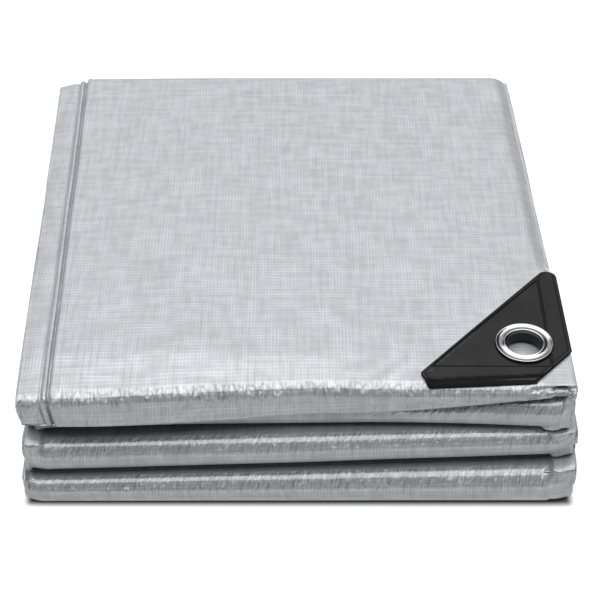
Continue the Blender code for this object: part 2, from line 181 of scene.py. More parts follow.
# Plies that show on the side edges of a layer: their rounding, and how far each one shifts
# inward or outward along the sheet
PLIES = 3
PLY_TURNS = (-0.82, 0.0, 0.82)
EDGE = 0.0010
PLY_SHIFT, PLY_LENGTH, PLY_LEAST = 0.0010, 0.050, -0.3

# Numbers of columns and rows, the places of the rows of a flat run and the flap's shoulder,
# and the place across at which a flap row's distance over the crease is read
FLAP_COLUMNS, NOSE_COLUMNS, BACK_COLUMNS, PLAIN_COLUMNS = 124, 216, 72, 26
END_COLUMNS, END_WIDTH = 22, 0.0180
NOSE_ROWS, BACK_ROWS, INNER_ROWS = 38, 18, 4
RUN_PLACES = (0.014, 0.030, 0.055, 0.085, 0.120, 0.160, 0.200, 0.235, 0.262)
SHOULDER_ROWS, TOP_ROWS = 28, 100
SHOULDER_END, BACK_MARGIN, BACK_CHECKS = 0.036, 0.002, 20
CREASE_ROWS, HANG_ROWS = 18, 10
ROW_READ_AT = 0.3

# Soft ridges and troughs of the flap, listed one by one: ends (x, distance over the crease),
#  over a long swell and small ripples that are stronger in front
Crease = namedtuple("Crease", "x0 y0 x1 y1 width height")
CREASES = [Crease(*row) for row in (
    (-0.118, 0.020, -0.120, 0.280, 0.0030, -0.00012),
    (-0.100, 0.026, -0.030, 0.034, 0.0100, 0.00030),
    (-0.060, 0.018, 0.010, 0.027, 0.0080, 0.00028),
    (0.000, 0.030, 0.050, 0.022, 0.0090, 0.00026),
    (-0.020, 0.012, 0.040, 0.011, 0.0050, 0.00022),
    (0.042, 0.004, 0.050, 0.016, 0.0022, 0.00045),
    (0.036, 0.006, 0.044, 0.020, 0.0024, -0.00035),
    (0.047, 0.012, 0.058, 0.024, 0.0026, 0.00030),
    (-0.085, 0.080, 0.060, 0.120, 0.0200, 0.00035),
    (-0.020, 0.150, 0.110, 0.200, 0.0220, 0.00030),
    (0.070, 0.130, 0.128, 0.240, 0.0120, 0.00035),
    (0.030, 0.240, 0.120, 0.250, 0.0160, -0.00030),
    (-0.110, 0.180, -0.020, 0.230, 0.0160, -0.00026),
    (0.090, 0.150, 0.128, 0.120, 0.0100, -0.00022),
    (-0.070, -0.006, 0.020, -0.010, 0.0040, 0.00035),
    (0.020, -0.008, 0.100, -0.004, 0.0035, -0.00030),
)]
SWELL, SWELL_LENGTH = 0.00022, 0.034
RIPPLE_WAVES, RIPPLE_REACH = (0.011, 0.016), 0.045
RIPPLE_EVERYWHERE, RIPPLE_IN_FRONT = 0.25, 0.6
LINE_FADE = 0.08

# Puckers of the front folds: where they start and end round a fold, in degrees, their
# strength, how far a fold's face runs for each radian, and the lengths and shares of the
# waves across a fold and round it. Back folds have one long wave
PUCKER = 0.00050
PUCKER_STARTS, PUCKER_ENDS = (8.0, 34.0), (56.0, 92.0)
PUCKER_MEAN, PUCKER_VARIES, PUCKER_LEAST, PUCKER_LENGTH = 0.60, 0.8, 0.15, 0.030
ARC = 0.012
FOLD_WAVES, SMALL_WAVES, SMALL_SLANT = (0.0040, 0.009), (0.0026, 0.0042), 0.004
LONG_WAVES, END_WAVES, END_REACH = (0.042, 0.020), (0.0024, 0.016), 0.016
FOLD_PART, SMALL_PART, PUCKER_DROP, END_PART, LONG_WAVE = 1.3, 0.8, 0.35, 0.7, 0.00045
WRINKLE_REACH = 0.03
BACK_WAVE, BACK_WAVE_LENGTH = 0.0005, 0.030

# Wrinkles at the ends of the front folds, listed one by one: fold, then both ends as place
#  across and degrees round the fold from its top
Wrinkle = namedtuple("Wrinkle", "nose x0 turn0 x1 turn1 width height")
WRINKLES = [Wrinkle(*row) for row in (
    (0, 0.1275, 12, 0.1405, 78, 0.0011, 0.0009),
    (0, 0.1310, 10, 0.1425, 60, 0.0009, -0.0007),
    (0, 0.1250, 30, 0.1300, 66, 0.0012, 0.0005),
    (0, 0.1260, 8, 0.1255, 34, 0.0009, 0.0006),
    (1, 0.1290, 8, 0.1300, 36, 0.0011, 0.0008),
    (1, 0.1325, 6, 0.1345, 40, 0.0010, 0.0008),
    (1, 0.1360, 10, 0.1420, 55, 0.0010, -0.0007),
    (1, 0.1230, 70, 0.1360, 110, 0.0018, 0.0005),
    (1, 0.1255, 150, 0.1410, 120, 0.0014, 0.0006),
    (2, 0.1180, 48, 0.1330, 62, 0.0012, 0.0005),
    (2, 0.1320, 60, 0.1385, 120, 0.0012, 0.0006),
    (1, -0.1300, 24, -0.1395, 84, 0.0011, 0.0008),
    (1, -0.1340, 16, -0.1400, 46, 0.0010, -0.0007),
    (1, -0.1275, 40, -0.1330, 100, 0.0013, 0.0005),
    (0, -0.1330, 20, -0.1400, 74, 0.0010, 0.0008),
    (0, -0.1290, 30, -0.1370, 96, 0.0012, -0.0006),
    (0, -0.1255, 26, -0.1260, 62, 0.0010, 0.0006),
)]

# Free edge of the corner's hem at the front right, and the dark fold-in under it
TIP_EDGE_X, TIP_EDGE_ALONG, TIP_EDGE_DROP, TIP_EDGE_WIDTH = 0.1180, 0.0024, 0.0013, 0.0007
TIP_EDGE_FADE = 0.001
RECESS_LEFT, RECESS_RIGHT, RECESS_DEPTH = 0.1290, 0.1342, 0.0070

# Patch: a triangle with its left point and the tip at the corner cut off, a raised rim, and
# a right side that stands a little past the cloth's edge
PATCH_FRONT, PATCH_BACK = 0.0016, 0.0998
PATCH_OVER_FRONT, PATCH_OVER_BACK = 0.0004, 0.0014
POINT_CUT_X, POINT_CUT_Y, POINT_SLANT = 0.0646, 0.0100, 0.0038
TIP_CUT_X, TIP_CUT_Y = 0.0206, 0.0248
PATCH_THICK, PATCH_RIM_WIDTH = 0.0013, 0.0016
PATCH_EDGE, PATCH_EDGE_SHARE = 0.0005, 0.6
RIM_SLOPE, FRONT_SLANT = 0.0007, 0.0022
POINT_ROUND, BACK_POINT_ROUND, TIP_ROUND = 0.0022, 0.0052, 0.0012
LEAST_ROUND = TIP_ROUND / 4

# Raised line on the patch: a triangle that stops at the eyelet, and the cuts along it
BEAD_WIDTH, BEAD_HEIGHT = 0.0016, 0.00045
BEAD_CORNERS = ((0.0665, 0.0150), (0.1282, 0.0150), (0.1282, 0.0845))
BEAD_FADE = 0.0008
BEAD_CUTS = (-0.5, -0.25, 0.0, 0.25, 0.5)

# Lip of the patch: where it starts behind the front edge at the left and the right, its
# thickness at its end, and the slanting line raised along its start
LIP_LEFT, LIP_RIGHT, LIP_END, LIP_PAST_TIP = 0.0050, 0.0078, 0.0003, 1.1
LIP_RIDGE, LIP_RIDGE_WIDTH = 0.00055, 0.0006

# Room between the pieces, and numbers of steps, rows and columns of the patch and the ring
PIECE_GAP = 0.0003
PATCH_ARC, RIM_STEPS, SLOPE_STEPS, ROUND_STEPS = 10, 5, 8, 96
PATCH_ROWS, PATCH_ROWS_POWER, PATCH_COLUMNS = 120, 1.6, 24
CUT_MERGE, DRILL_LENGTH = 1e-7, 0.02

# Steps of the ring's rolled edge, its valley and its inner lip
ROLL_STEPS, VALLEY_STEPS, LIP_STEPS = 10, 12, 8

# Angles above which an edge stays sharp
CLOTH_SHARP, PATCH_SHARP, RING_SHARP = math.radians(50), math.radians(35), math.radians(50)

FLAP = len(NOSES) * LAYERS_A_NOSE

# Floor: its glow, the foot of the bundle on it in the imported frame, the width and power of the
#  painted contact shadow where the glow fades to black, and its size. The sky's glow is faint
FLOOR_GLOW = 0.88
FOOT_MIDDLE, FOOT_WIDTH, FOOT_DEPTH = 0.0040, 0.2820, 0.2888
FOOT_SHADOW_WIDTH, FOOT_SHADOW_POWER = 0.0046, 1.5
FLOOR_SIZE, SKY_GLOW, WHITE = 3.0, 0.06, (1.0, 1.0, 1.0)

# Camera: straight behind the front crease, in the folds' frame
CAMERA_Y, CAMERA_Z = -0.6085, 0.6436
SENSOR_WIDTH = 36.0


def clamp(value):
    """The value, held between 0 and 1."""
    return min(max(value, 0.0), 1.0)


def smooth(low, high, value):
    """0 below low and 1 above high, with a soft start and end."""
    share = clamp((value - low) / (high - low))
    return share * share * (3.0 - 2.0 * share)


def fade(low, high, value):
    """1 below low and 0 above high, with a soft start and end."""
    return 1.0 - smooth(low, high, value)


def random_height(x, y, z):
    """A smooth random number from -1 to 1, the same each time for a place in the noise."""
    return noise.noise(Vector((x, y, z)))


def mix(first, second, share):
    """The number that lies at that share of the way from first to second."""
    return first + (second - first) * share


def spread(start, end, count):
    """Even steps from start to end, both included."""
    return [mix(start, end, index / count) for index in range(count + 1)]


# Settings that a user would change

class TarpClothSettings(bpy.types.PropertyGroup):
    colour: FloatVectorProperty(
        name="Cloth colour",
        description="Colour of the silver laminate",
        subtype="COLOR", size=3, min=0.0, max=1.0, default=(0.290, 0.294, 0.311),
    )
    tape: FloatProperty(
        name="Tape width",
        description="Distance from one woven tape to the next",
        default=0.0018, min=0.0008, max=0.004, subtype="DISTANCE", unit="LENGTH", precision=4,
    )
    pucker: FloatProperty(
        name="Pucker height",
        description="Height of the small wrinkles on the front folds",
        default=PUCKER, min=0.0, max=0.001, subtype="DISTANCE", unit="LENGTH", precision=5,
    )


class TarpPatchSettings(bpy.types.PropertyGroup):
    colour: FloatVectorProperty(
        name="Patch colour",
        description="Colour of the moulded corner patch",
        subtype="COLOR", size=3, min=0.0, max=1.0, default=(0.006, 0.006, 0.0063),
    )
    rim: FloatProperty(
        name="Rim height",
        description="How far the rim stands above the patch",
        default=0.0002, min=0.0, max=0.001, subtype="DISTANCE", unit="LENGTH", precision=5,
    )


class TarpEyeletSettings(bpy.types.PropertyGroup):
    colour: FloatVectorProperty(
        name="Metal colour",
        description="Colour of the polished eyelet",
        subtype="COLOR", size=3, min=0.0, max=1.0, default=(0.30, 0.30, 0.305),
    )
    dome: FloatProperty(
        name="Dome height",
        description="How far the eyelet's flange stands above the patch",
        default=0.0013, min=0.0005, max=0.003, subtype="DISTANCE", unit="LENGTH", precision=4,
    )


class TarpStageSettings(bpy.types.PropertyGroup):
    floor: FloatVectorProperty(
        name="Floor colour",
        description="Colour of the plain floor",
        subtype="COLOR", size=3, min=0.0, max=1.0, default=(0.22, 0.22, 0.22),
    )
    lens: FloatProperty(
        name="Focal length",
        description="Focal length on a 36 mm wide sensor, in millimetres",
        default=99.48, min=35.0, max=200.0, subtype="DISTANCE_CAMERA",
    )
    pitch: FloatProperty(
        name="Camera pitch",
        description="How far the camera looks down",
        default=math.radians(40.0), min=0.0, max=math.radians(90.0), subtype="ANGLE",
    )


# Heights and sides of the layers

def crown(across, y):
    """Height of the bundle as a share of its full height, across = 0 left to 1 right."""
    left = LEFT_FALL * fade(0.0, LEFT_FALL_SHARE, across)
    rim = RIM_FALL * fade(0.0, RIM_SHARE, across)
    front = SHOULDER_FALL * fade(0.0, SHOULDER_DEPTH, y)
    front *= fade(SHOULDER_FADES, SHOULDER_ENDS, across)
    left *= mix(1.0, LEFT_FALL_AT_BACK, smooth(BACK_BEGINS, 1.0, y / DEPTH))
    middle = math.sin(math.pi * across) * math.sin(math.pi * clamp(y / DEPTH))
    return 1.0 - left - rim - front + MIDDLE_RISE * middle


def floors(across, y):
    """Height at which each front fold starts, from the bottom, and the top of the last."""
    near = fade(0.0, FRONT_REACH, y)
    left = [nose.floor_left for nose in NOSES] + [STACK_LEFT]
    right = [nose.floor_right for nose in NOSES] + [STACK_RIGHT]
    even = [STACK_LEFT * index / len(NOSES) for index in range(len(NOSES) + 1)]
    return [mix(e, mix(a, b, across), near) for e, a, b in zip(even, left, right)]


def band_share(gap, across, turned=0.0):
    """1 in the bands at both ends where the cloth closes a gap, 0 along the open gap. The
    bands get narrower as the fold turns away from the gap, by turned radians."""
    if gap < 0:
        return 0.0
    width = NOSES[0].right - NOSES[0].left
    left, right = across * width, (1.0 - across) * width
    kept = 1.0 - BAND_LEAN * smooth(BAND_LEAN_FROM, math.pi / 2, turned)
    ends = kept * BANDS[gap].left, kept * BANDS[gap].right
    at_left = fade(ends[0] - BAND_EDGE, ends[0], left)
    at_right = fade(ends[1] - BAND_EDGE, ends[1], right)
    return max(at_left, at_right)


def gap_height(nose, across, y):
    """Height of the open gap over a front fold, which closes toward the back and the ends."""
    height = mix(GAPS[nose].left, GAPS[nose].right, across)
    return height * fade(GAP_NEAR, GAP_FAR, y) * (1.0 - band_share(nose, across))


def layer_at(across, y, layer):
    """Height of a layer's middle, and half its thickness."""
    if layer == FLAP:
        from_edge = (1.0 - across) * (FLAP_RIGHT - FLAP_LEFT)
        rolled = max(1.0 - from_edge / ROLL_WIDTH, 0.0) ** 2
        roll = ROLL_DROP * rolled * smooth(ROLL_FROM, ROLL_TO, y)
        return (FLAP_TOP - SHEET / 2) * crown(across, y) - roll, SHEET / 2
    if layer == 0:
        return SHEET / 2, SHEET / 2
    nose, step = divmod(layer, LAYERS_A_NOSE)
    levels = floors(across, y)
    pitch = (levels[nose + 1] - levels[nose] - gap_height(nose, across, y)) / LAYERS_A_NOSE
    height = (levels[nose] + (step + 0.5) * pitch) * crown(across, y)
    return height, min(SHEET, FILL * pitch) / 2


def sides_at(y, layer):
    """Left and right edge of a layer, which swell where two front folds meet."""
    lean = SKEW * y / DEPTH
    if layer == FLAP:
        return FLAP_LEFT + lean, FLAP_RIGHT + lean
    nose = NOSES[layer // LAYERS_A_NOSE]
    wave = SIDE_WAVE * math.cos(2.0 * math.pi * (layer + 0.5) / LAYERS_A_NOSE)
    left = LAYER_SHIFT * math.sin(LEFT_SHIFT_TURN * layer) - wave / 2
    right = LAYER_SHIFT * math.cos(RIGHT_SHIFT_TURN * layer) + wave
    return nose.left + left + lean, nose.right + right + lean


# Relief: soft creases, swells and the small puckers of the folds

def waves(x, y, lengths, seat):
    """A smooth random height from -1 to 1, with waves of those lengths in x and y. Each
    kind of wave has its own seat in the noise."""
    return random_height(x / lengths[0], y / lengths[1], seat)


def near_line(x, y, x0, y0, x1, y1, width):
    """Share at a point of a soft line: 1 on the line, and fading to its sides and ends."""
    start = Vector((x0, y0))
    line = Vector((x1, y1)) - start
    from_start = Vector((x, y)) - start
    along = clamp(from_start.dot(line) / line.length_squared)
    away = (from_start - line * along).length / width
    return math.exp(-away * away) * math.sin(math.pi * mix(LINE_FADE, 1.0 - LINE_FADE, along))


def tip_edge(x, along):
    """Drop of the surface past the free edge of the corner's hem."""
    past = fade(TIP_EDGE_ALONG - TIP_EDGE_WIDTH, TIP_EDGE_ALONG, along)
    return TIP_EDGE_DROP * past * smooth(TIP_EDGE_X - TIP_EDGE_FADE, TIP_EDGE_X, x)


def flap_relief(x, along):
    """Height that the flap's top face stands above its even form."""
    swell = waves(x, along, (SWELL_LENGTH, SWELL_LENGTH), 3.0)
    ripple = waves(x, along, RIPPLE_WAVES, 9.0)
    near_front = fade(0.0, RIPPLE_REACH, along)
    height = SWELL * swell + SWELL * (RIPPLE_EVERYWHERE + RIPPLE_IN_FRONT * near_front) * ripple
    for crease in CREASES:
        height += crease.height * near_line(x, along, *crease[:5])
    from_line = (x - EDGE_LINE_X) / EDGE_LINE_WIDTH
    at_corner = fade(0.0, EDGE_LINE_REACH, along)
    height -= EDGE_LINE_DEPTH * at_corner * math.exp(-from_line * from_line)
    return height - tip_edge(x, along)


def pucker_mask(turn, x):
    """Share of the puckers on a front fold: on its upper shoulder, stronger in places."""
    degrees = math.degrees(turn)
    shoulder = smooth(*PUCKER_STARTS, degrees) * fade(*PUCKER_ENDS, degrees)
    strength = PUCKER_MEAN + PUCKER_VARIES * random_height(x / PUCKER_LENGTH, 5.0, turn)
    return shoulder * max(strength, PUCKER_LEAST)


def nose_relief(nose, x, turn, from_end, pucker):
    """Height that a front fold's outer face stands above its even form."""
    seat = 11.0 * nose
    arc = turn * ARC
    fold = waves(x, arc, FOLD_WAVES, seat)
    slanted = x / SMALL_WAVES[0] + arc / SMALL_SLANT
    small = random_height(slanted, arc / SMALL_WAVES[1], seat + 4.0)
    upright = waves(x, arc, END_WAVES, seat + 2.0) * fade(0.0, END_REACH, from_end)
    puckers = FOLD_PART * abs(fold) + SMALL_PART * small - PUCKER_DROP
    height = pucker * (pucker_mask(turn, x) * puckers + END_PART * upright)
    height += LONG_WAVE * waves(x, arc, LONG_WAVES, seat + 7.0)
    for row in WRINKLES:
        if row.nose == nose and abs(x - row.x0) < WRINKLE_REACH:
            start, end = (math.radians(part) * ARC for part in (row.turn0, row.turn1))
            height += row.height * near_line(x, arc, row.x0, start, row.x1, end, row.width)
    return height


# Rows of the sheet

# A row holds the layer's edges, a function that gives a place across it as a point (y, z),
# the direction out of the sheet's first face (y, z) and half a thickness, the number of
# columns on its first and other face, how far its ledges show, a key for its plies, and the
# relief of each face, a function of x and the share across
Row = namedtuple("Row", "left right place near far ledges key lift_near lift_far")


def flat(x, across):
    """No relief."""
    return 0.0


def run_row(layer, y, forward):
    """A row of a lower layer where it lies flat."""
    out = -1.0 if forward else 1.0

    def place(across):
        height, half = layer_at(across, y, layer)
        return y, height, 0.0, out, half

    left, right = sides_at(y, layer)
    return Row(left, right, place, PLAIN_COLUMNS, PLAIN_COLUMNS, 0.0, layer, flat, flat)


def end_round(across):
    """How far a fold draws back near its two ends."""
    return END_ROUND * fade(0.0, END_SHARE, min(across, 1.0 - across))


def front_centre(nose, across):
    """Where a front fold starts to turn: its outer radius behind its tip."""
    row = NOSES[nose]
    tip = mix(row.tip_left, row.tip_right, across ** row.tip_power) + end_round(across)
    low, half = layer_at(across, 0.0, nose * LAYERS_A_NOSE)
    high, _ = layer_at(across, 0.0, (nose + 1) * LAYERS_A_NOSE - 1)
    return tip + half + (high - low) / 2


def back_centre(back, across):
    """Where a back fold starts to turn."""
    low, half = layer_at(across, DEPTH, back.low)
    high, _ = layer_at(across, DEPTH, back.high)
    tip = back.tip - BACK_ROUND * fade(0.0, BACK_SHARE, min(across, 1.0 - across))
    if back.high == FLAP:
        inset = across * (FLAP_RIGHT - FLAP_LEFT)
        tip -= LEDGE_BACK * sum(inset < end for end in LEDGE_ENDS)
    return tip - half - (high - low) / 2


def fullness(nose, across, turn):
    """How square a front fold's upper or lower half is, so that it meets its neighbour."""
    gap, most = (nose, BAND_FULL_UNDER) if turn < math.pi / 2 else (nose - 1, BAND_FULL_OVER)
    return 1.0 / (1.0 + most * band_share(gap, across, min(turn, math.pi - turn)))


def is_outer(first, second, at_front):
    """True for the outermost turn of a front or back fold, which shows."""
    low, high = min(first, second), max(first, second)
    if at_front:
        return high - low == LAYERS_A_NOSE - 1
    return any(row.low == low and row.high == high for row in BACKS)


def turn_rows(first, second, at_front, pucker):
    """Rows of the half turn from one layer to another."""
    low, high = min(first, second), max(first, second)
    back = next((row for row in BACKS if row.low <= low and high <= row.high), None)
    nose = low // LAYERS_A_NOSE
    outer = is_outer(first, second, at_front)
    steps = INNER_ROWS + abs(first - second)
    fine = PLAIN_COLUMNS
    if outer:
        steps = NOSE_ROWS if at_front else BACK_ROWS
        fine = NOSE_COLUMNS if at_front else BACK_COLUMNS
    bulge = -1.0 if at_front else 1.0
    downward = 1.0 if first > second else -1.0
    facing = downward * bulge
    rows = []
    for index in range(steps + 1):
        turn = math.pi * index / steps
        share = (1.0 - math.cos(turn)) / 2
        from_top = turn if downward > 0 else math.pi - turn

        def place(across, turn=turn, share=share, from_top=from_top):
            y = front_centre(nose, across) if at_front else back_centre(back, across)
            start, start_half = layer_at(across, y, first)
            end, end_half = layer_at(across, y, second)
            radius = (start - end) / 2
            power = fullness(nose, across, from_top) if at_front and outer else 1.0
            cosine = math.copysign(abs(math.cos(turn)) ** power, math.cos(turn))
            point_y = y + bulge * abs(radius) * math.sin(turn) ** power
            point_z = (start + end) / 2 + radius * cosine
            out_y = facing * bulge * math.sin(turn)
            out_z = facing * downward * math.cos(turn)
            return point_y, point_z, out_y, out_z, mix(start_half, end_half, share)

        def lift(x, across, turn=turn, from_top=from_top):
            fade = math.sin(turn) ** 0.5 if 0 < index < steps else 0.0
            if at_front:
                from_end = min(across, 1.0 - across) * (NOSES[0].right - NOSES[0].left)
                return fade * nose_relief(nose, x, from_top, from_end, pucker)
            wave = random_height(x / BACK_WAVE_LENGTH, from_top, 2.0 * high)
            return fade * BACK_WAVE * wave

        y = 0.0 if at_front else DEPTH
        left, right = (mix(a, b, share) for a, b in zip(sides_at(y, first), sides_at(y, second)))
        if at_front and outer:
            left += WAIST * math.sin(turn) / 2
            right -= WAIST * math.sin(turn)
        near, far = (fine, PLAIN_COLUMNS) if facing > 0 else (PLAIN_COLUMNS, fine)
        shaped = outer and 0 < index < steps
        lifts = (lift, flat) if facing > 0 else (flat, lift)
        rows.append(Row(
            left, right, place, near, far,
            1.0 - share if first == FLAP else 0.0, first + share,
            *(lifts if shaped else (flat, flat)),
        ))
    return rows


# Flap

def crease(across):
    """Where the crease starts, and its radius."""
    share = fade(TIP_BEGINS, TIP_BEGINS + TIP_FADE, across)
    return mix(TIP_BEND_START, BEND_START, share), mix(TIP_BEND_RADIUS, BEND_RADIUS, share)


def over_crease(across, along, lift):
    """Point (y, z) of the flap and its direction out. along is measured over the crease."""
    start, radius = crease(across)
    height, _ = layer_at(across, max(along, start), FLAP)
    past = max(start - along, 0.0)
    bend = min(past / radius, CREASE_ANGLE)
    hang = past - bend * radius
    turn = bend + HANG_CURL * hang
    middle = (bend + turn) / 2
    y = max(along, start) - radius * math.sin(bend) - hang * math.cos(middle)
    z = height - radius * (1.0 - math.cos(bend)) - hang * math.sin(middle)
    y += bow(across) * fade(0.0, BOW_REACH, along)
    return y - lift * math.sin(turn), z + lift * math.cos(turn), -math.sin(turn), math.cos(turn)


def bow(across):
    """How far the crease stands back from its straight line."""
    left = BOW_LEFT * fade(BOW_FROM, BOW_TO, across)
    return left + BOW_MIDDLE * math.exp(-((across - BOW_PLACE) / BOW_SPREAD) ** 2)


def bend_end(across):
    """Where the cloth hangs straight, past the crease."""
    start, radius = crease(across)
    return start - radius * CREASE_ANGLE


def hem_along(across):
    """Where the hem lies, measured over the crease: at a set height in front."""
    _, start, _, _ = over_crease(across, bend_end(across), 0.0)
    hang = (start - mix(HEM_LEFT, HEM_RIGHT, across ** HEM_POWER)) / math.sin(HANG_ANGLE)
    return bend_end(across) - max(hang, HEM_LEAST)


def recess(x, along):
    """How far the hanging cloth is pushed in, in the dark fold at the front right."""
    inside = smooth(RECESS_LEFT - TIP_EDGE_FADE, RECESS_LEFT, x)
    inside *= fade(RECESS_RIGHT, RECESS_RIGHT + TIP_EDGE_FADE, x)
    past_edge = fade(TIP_EDGE_ALONG - 2 * TIP_EDGE_WIDTH, TIP_EDGE_ALONG, along)
    return RECESS_DEPTH * inside * past_edge


def flap_row(along_of, thin=1.0):
    """A row of the flap. along_of gives its distance over the crease for a place across."""
    middle = along_of(ROW_READ_AT)
    left, right = sides_at(max(middle, 0.0), FLAP)
    left += HEM_TAPER * fade(HEM_TAPER_FROM, 0.0, middle)
    right -= TIP_TAPER * fade(TIP_TAPER_TO, TIP_TAPER_FROM, along_of(1.0))

    def place(across):
        along = along_of(across)
        y, z, out_y, out_z = over_crease(across, along, 0.0)
        y += recess(mix(left, right, across), along)
        return y, z, out_y, out_z, thin * SHEET / 2

    def lift(x, across):
        return thin * flap_relief(x, along_of(across))

    by_eyelet = abs(middle - EYELET_Y) < HOLE_AROUND
    far = FLAP_COLUMNS if by_eyelet else PLAIN_COLUMNS
    return Row(left, right, place, FLAP_COLUMNS, far, 1.0, FLAP + middle, lift, flat)


def flap_rows():
    """Rows of the flap from its hem to the start of the back turn."""
    def hang(share):
        return lambda across: mix(hem_along(across) + HEM_ROUND, bend_end(across), share)

    def bent(share):
        return lambda across: mix(bend_end(across), crease(across)[0], share)

    def level(share):
        return lambda across: mix(crease(across)[0], SHOULDER_END, share)

    rows = [flap_row(hem_along, HEM_THIN[0])]
    rows.append(flap_row(lambda across: hem_along(across) + HEM_ROUND / 3, HEM_THIN[1]))
    rows += [flap_row(hang(index / HANG_ROWS)) for index in range(HANG_ROWS)]
    rows += [flap_row(bent(share)) for share in spread(0.0, 1.0, CREASE_ROWS)]
    rows += [flap_row(level(share)) for share in spread(0.0, 1.0, SHOULDER_ROWS)[1:]]
    last = min(back_centre(BACKS[-1], across) for across in spread(0.0, 1.0, BACK_CHECKS))
    places = spread(SHOULDER_END, last - BACK_MARGIN, TOP_ROWS)[1:]
    return rows + [flap_row(lambda across, along=along: along) for along in places]


# Sheet

def fold_order():
    """Layers in the order in which the sheet runs through them, from the flap down."""
    order = [FLAP]
    for strand in range(LAYERS_A_NOSE // 2):
        pairs = []
        for nose in reversed(range(len(NOSES))):
            first = nose * LAYERS_A_NOSE
            pairs += [first + LAYERS_A_NOSE - 1 - strand, first + strand]
        order += pairs if strand % 2 == 0 else reversed(pairs)
    return order


def sheet_rows(pucker):
    """Every row of the sheet, from the hem of the flap to its free end at the back."""
    order = fold_order()
    rows = flap_rows()
    at_front = False
    for first, second in zip(order, order[1:]):
        rows += turn_rows(first, second, at_front, pucker)
        places = RUN_PLACES if at_front else reversed(RUN_PLACES)
        rows += [run_row(second, y, not at_front) for y in places]
        at_front = not at_front
    rows.append(run_row(order[-1], FREE_END, False))
    return rows


def face_places(width, columns, ledges):
    """Places (inset, depth) of the columns on one face, closer together near the ends."""
    last = LEDGES[-1].inset
    if ledges is not None:
        even = spread(last, width - EDGE, columns)[1:]
        stepped = [(ledge.inset, ledges * ledge.depth) for ledge in LEDGES]
        return stepped + [(place, 0.0) for place in even]
    if columns < NOSE_COLUMNS:
        return [(place, 0.0) for place in spread(EDGE, width - EDGE, columns)]
    left = spread(EDGE, END_WIDTH, END_COLUMNS)
    middle = spread(END_WIDTH, width - END_WIDTH, columns - 2 * END_COLUMNS)[1:]
    right = spread(width - END_WIDTH, width - EDGE, END_COLUMNS)[1:]
    return [(place, 0.0) for place in left + middle + right]


# One point of a ring: its share along its side of the ring, its place, and its distance
# round the ring, which the weave follows
Knot = namedtuple("Knot", "share point around")


def ply_insets(row, path, seat):
    """Side (1 first face, -1 other) and inset of each point on a layer's edge."""
    points = []
    for ply in range(PLIES):
        shift = random_height(path / PLY_LENGTH, 3.1 * ply + seat, 1.7 * round(row.key))
        for turn in PLY_TURNS:
            side = 1.0 - 2.0 * (ply + (turn + 1.0) / 2) / PLIES
            inset = EDGE * (1.0 - math.sqrt(1.0 - turn * turn)) + PLY_SHIFT * max(shift, PLY_LEAST)
            points.append((side, inset))
    return points


def ring_sides(row, path):
    """The sheet's outline at a row as four lists of knots: first face from left to right,
    right edge, other face from right to left, left edge."""
    width = row.right - row.left
    wander = random_height(path / WANDER_LENGTH, 1.0, 1.0) * LEDGE_WANDER * row.ledges
    top_left = 1.0 - 2.0 * row.ledges * LEDGES[0].depth / SHEET

    def point(inset, side, rise=0.0):
        y, z, out_y, out_z, half = row.place(clamp(inset / width))
        lift = half * side + rise
        return Vector((row.left + inset, y + out_y * lift, z + out_z * lift))

    def edge_knots(points, around):
        steps = len(points) + 1
        return [Knot(i / steps, p, around + SHEET / steps * i) for i, p in enumerate(points, 1)]

    with_ledges = row.ledges if row.ledges > 0.0 else None
    near = []
    for inset, depth in face_places(width, row.near, with_ledges):
        moved = inset + wander if WANDER_FROM < inset < WANDER_TO else inset
        rise = row.lift_near(row.left + moved, moved / width) - depth
        near.append((moved, point(moved, 1.0, rise)))
    far = []
    for inset, _ in reversed(face_places(width, row.far, None)):
        rise = row.lift_far(row.left + inset, inset / width)
        far.append((inset, point(inset, -1.0, -rise)))
    right = [point(width - inset, side) for side, inset in ply_insets(row, path, 0.5)]
    left = [point(inset, mix(-1.0, top_left, (side + 1.0) / 2))
            for side, inset in reversed(ply_insets(row, path, 7.5))]
    start, end = near[0][0], near[-1][0]
    first, last = far[0][0], far[-1][0]
    right_at = row.left + end
    far_at = right_at + SHEET
    left_at = far_at + (first - last)
    sides = (
        [Knot((inset - start) / (end - start), p, row.left + inset) for inset, p in near],
        edge_knots(right, right_at),
        [Knot((first - inset) / (first - last), p, far_at + first - inset) for inset, p in far],
        edge_knots(left, left_at),
    )
    return sides, left_at + SHEET


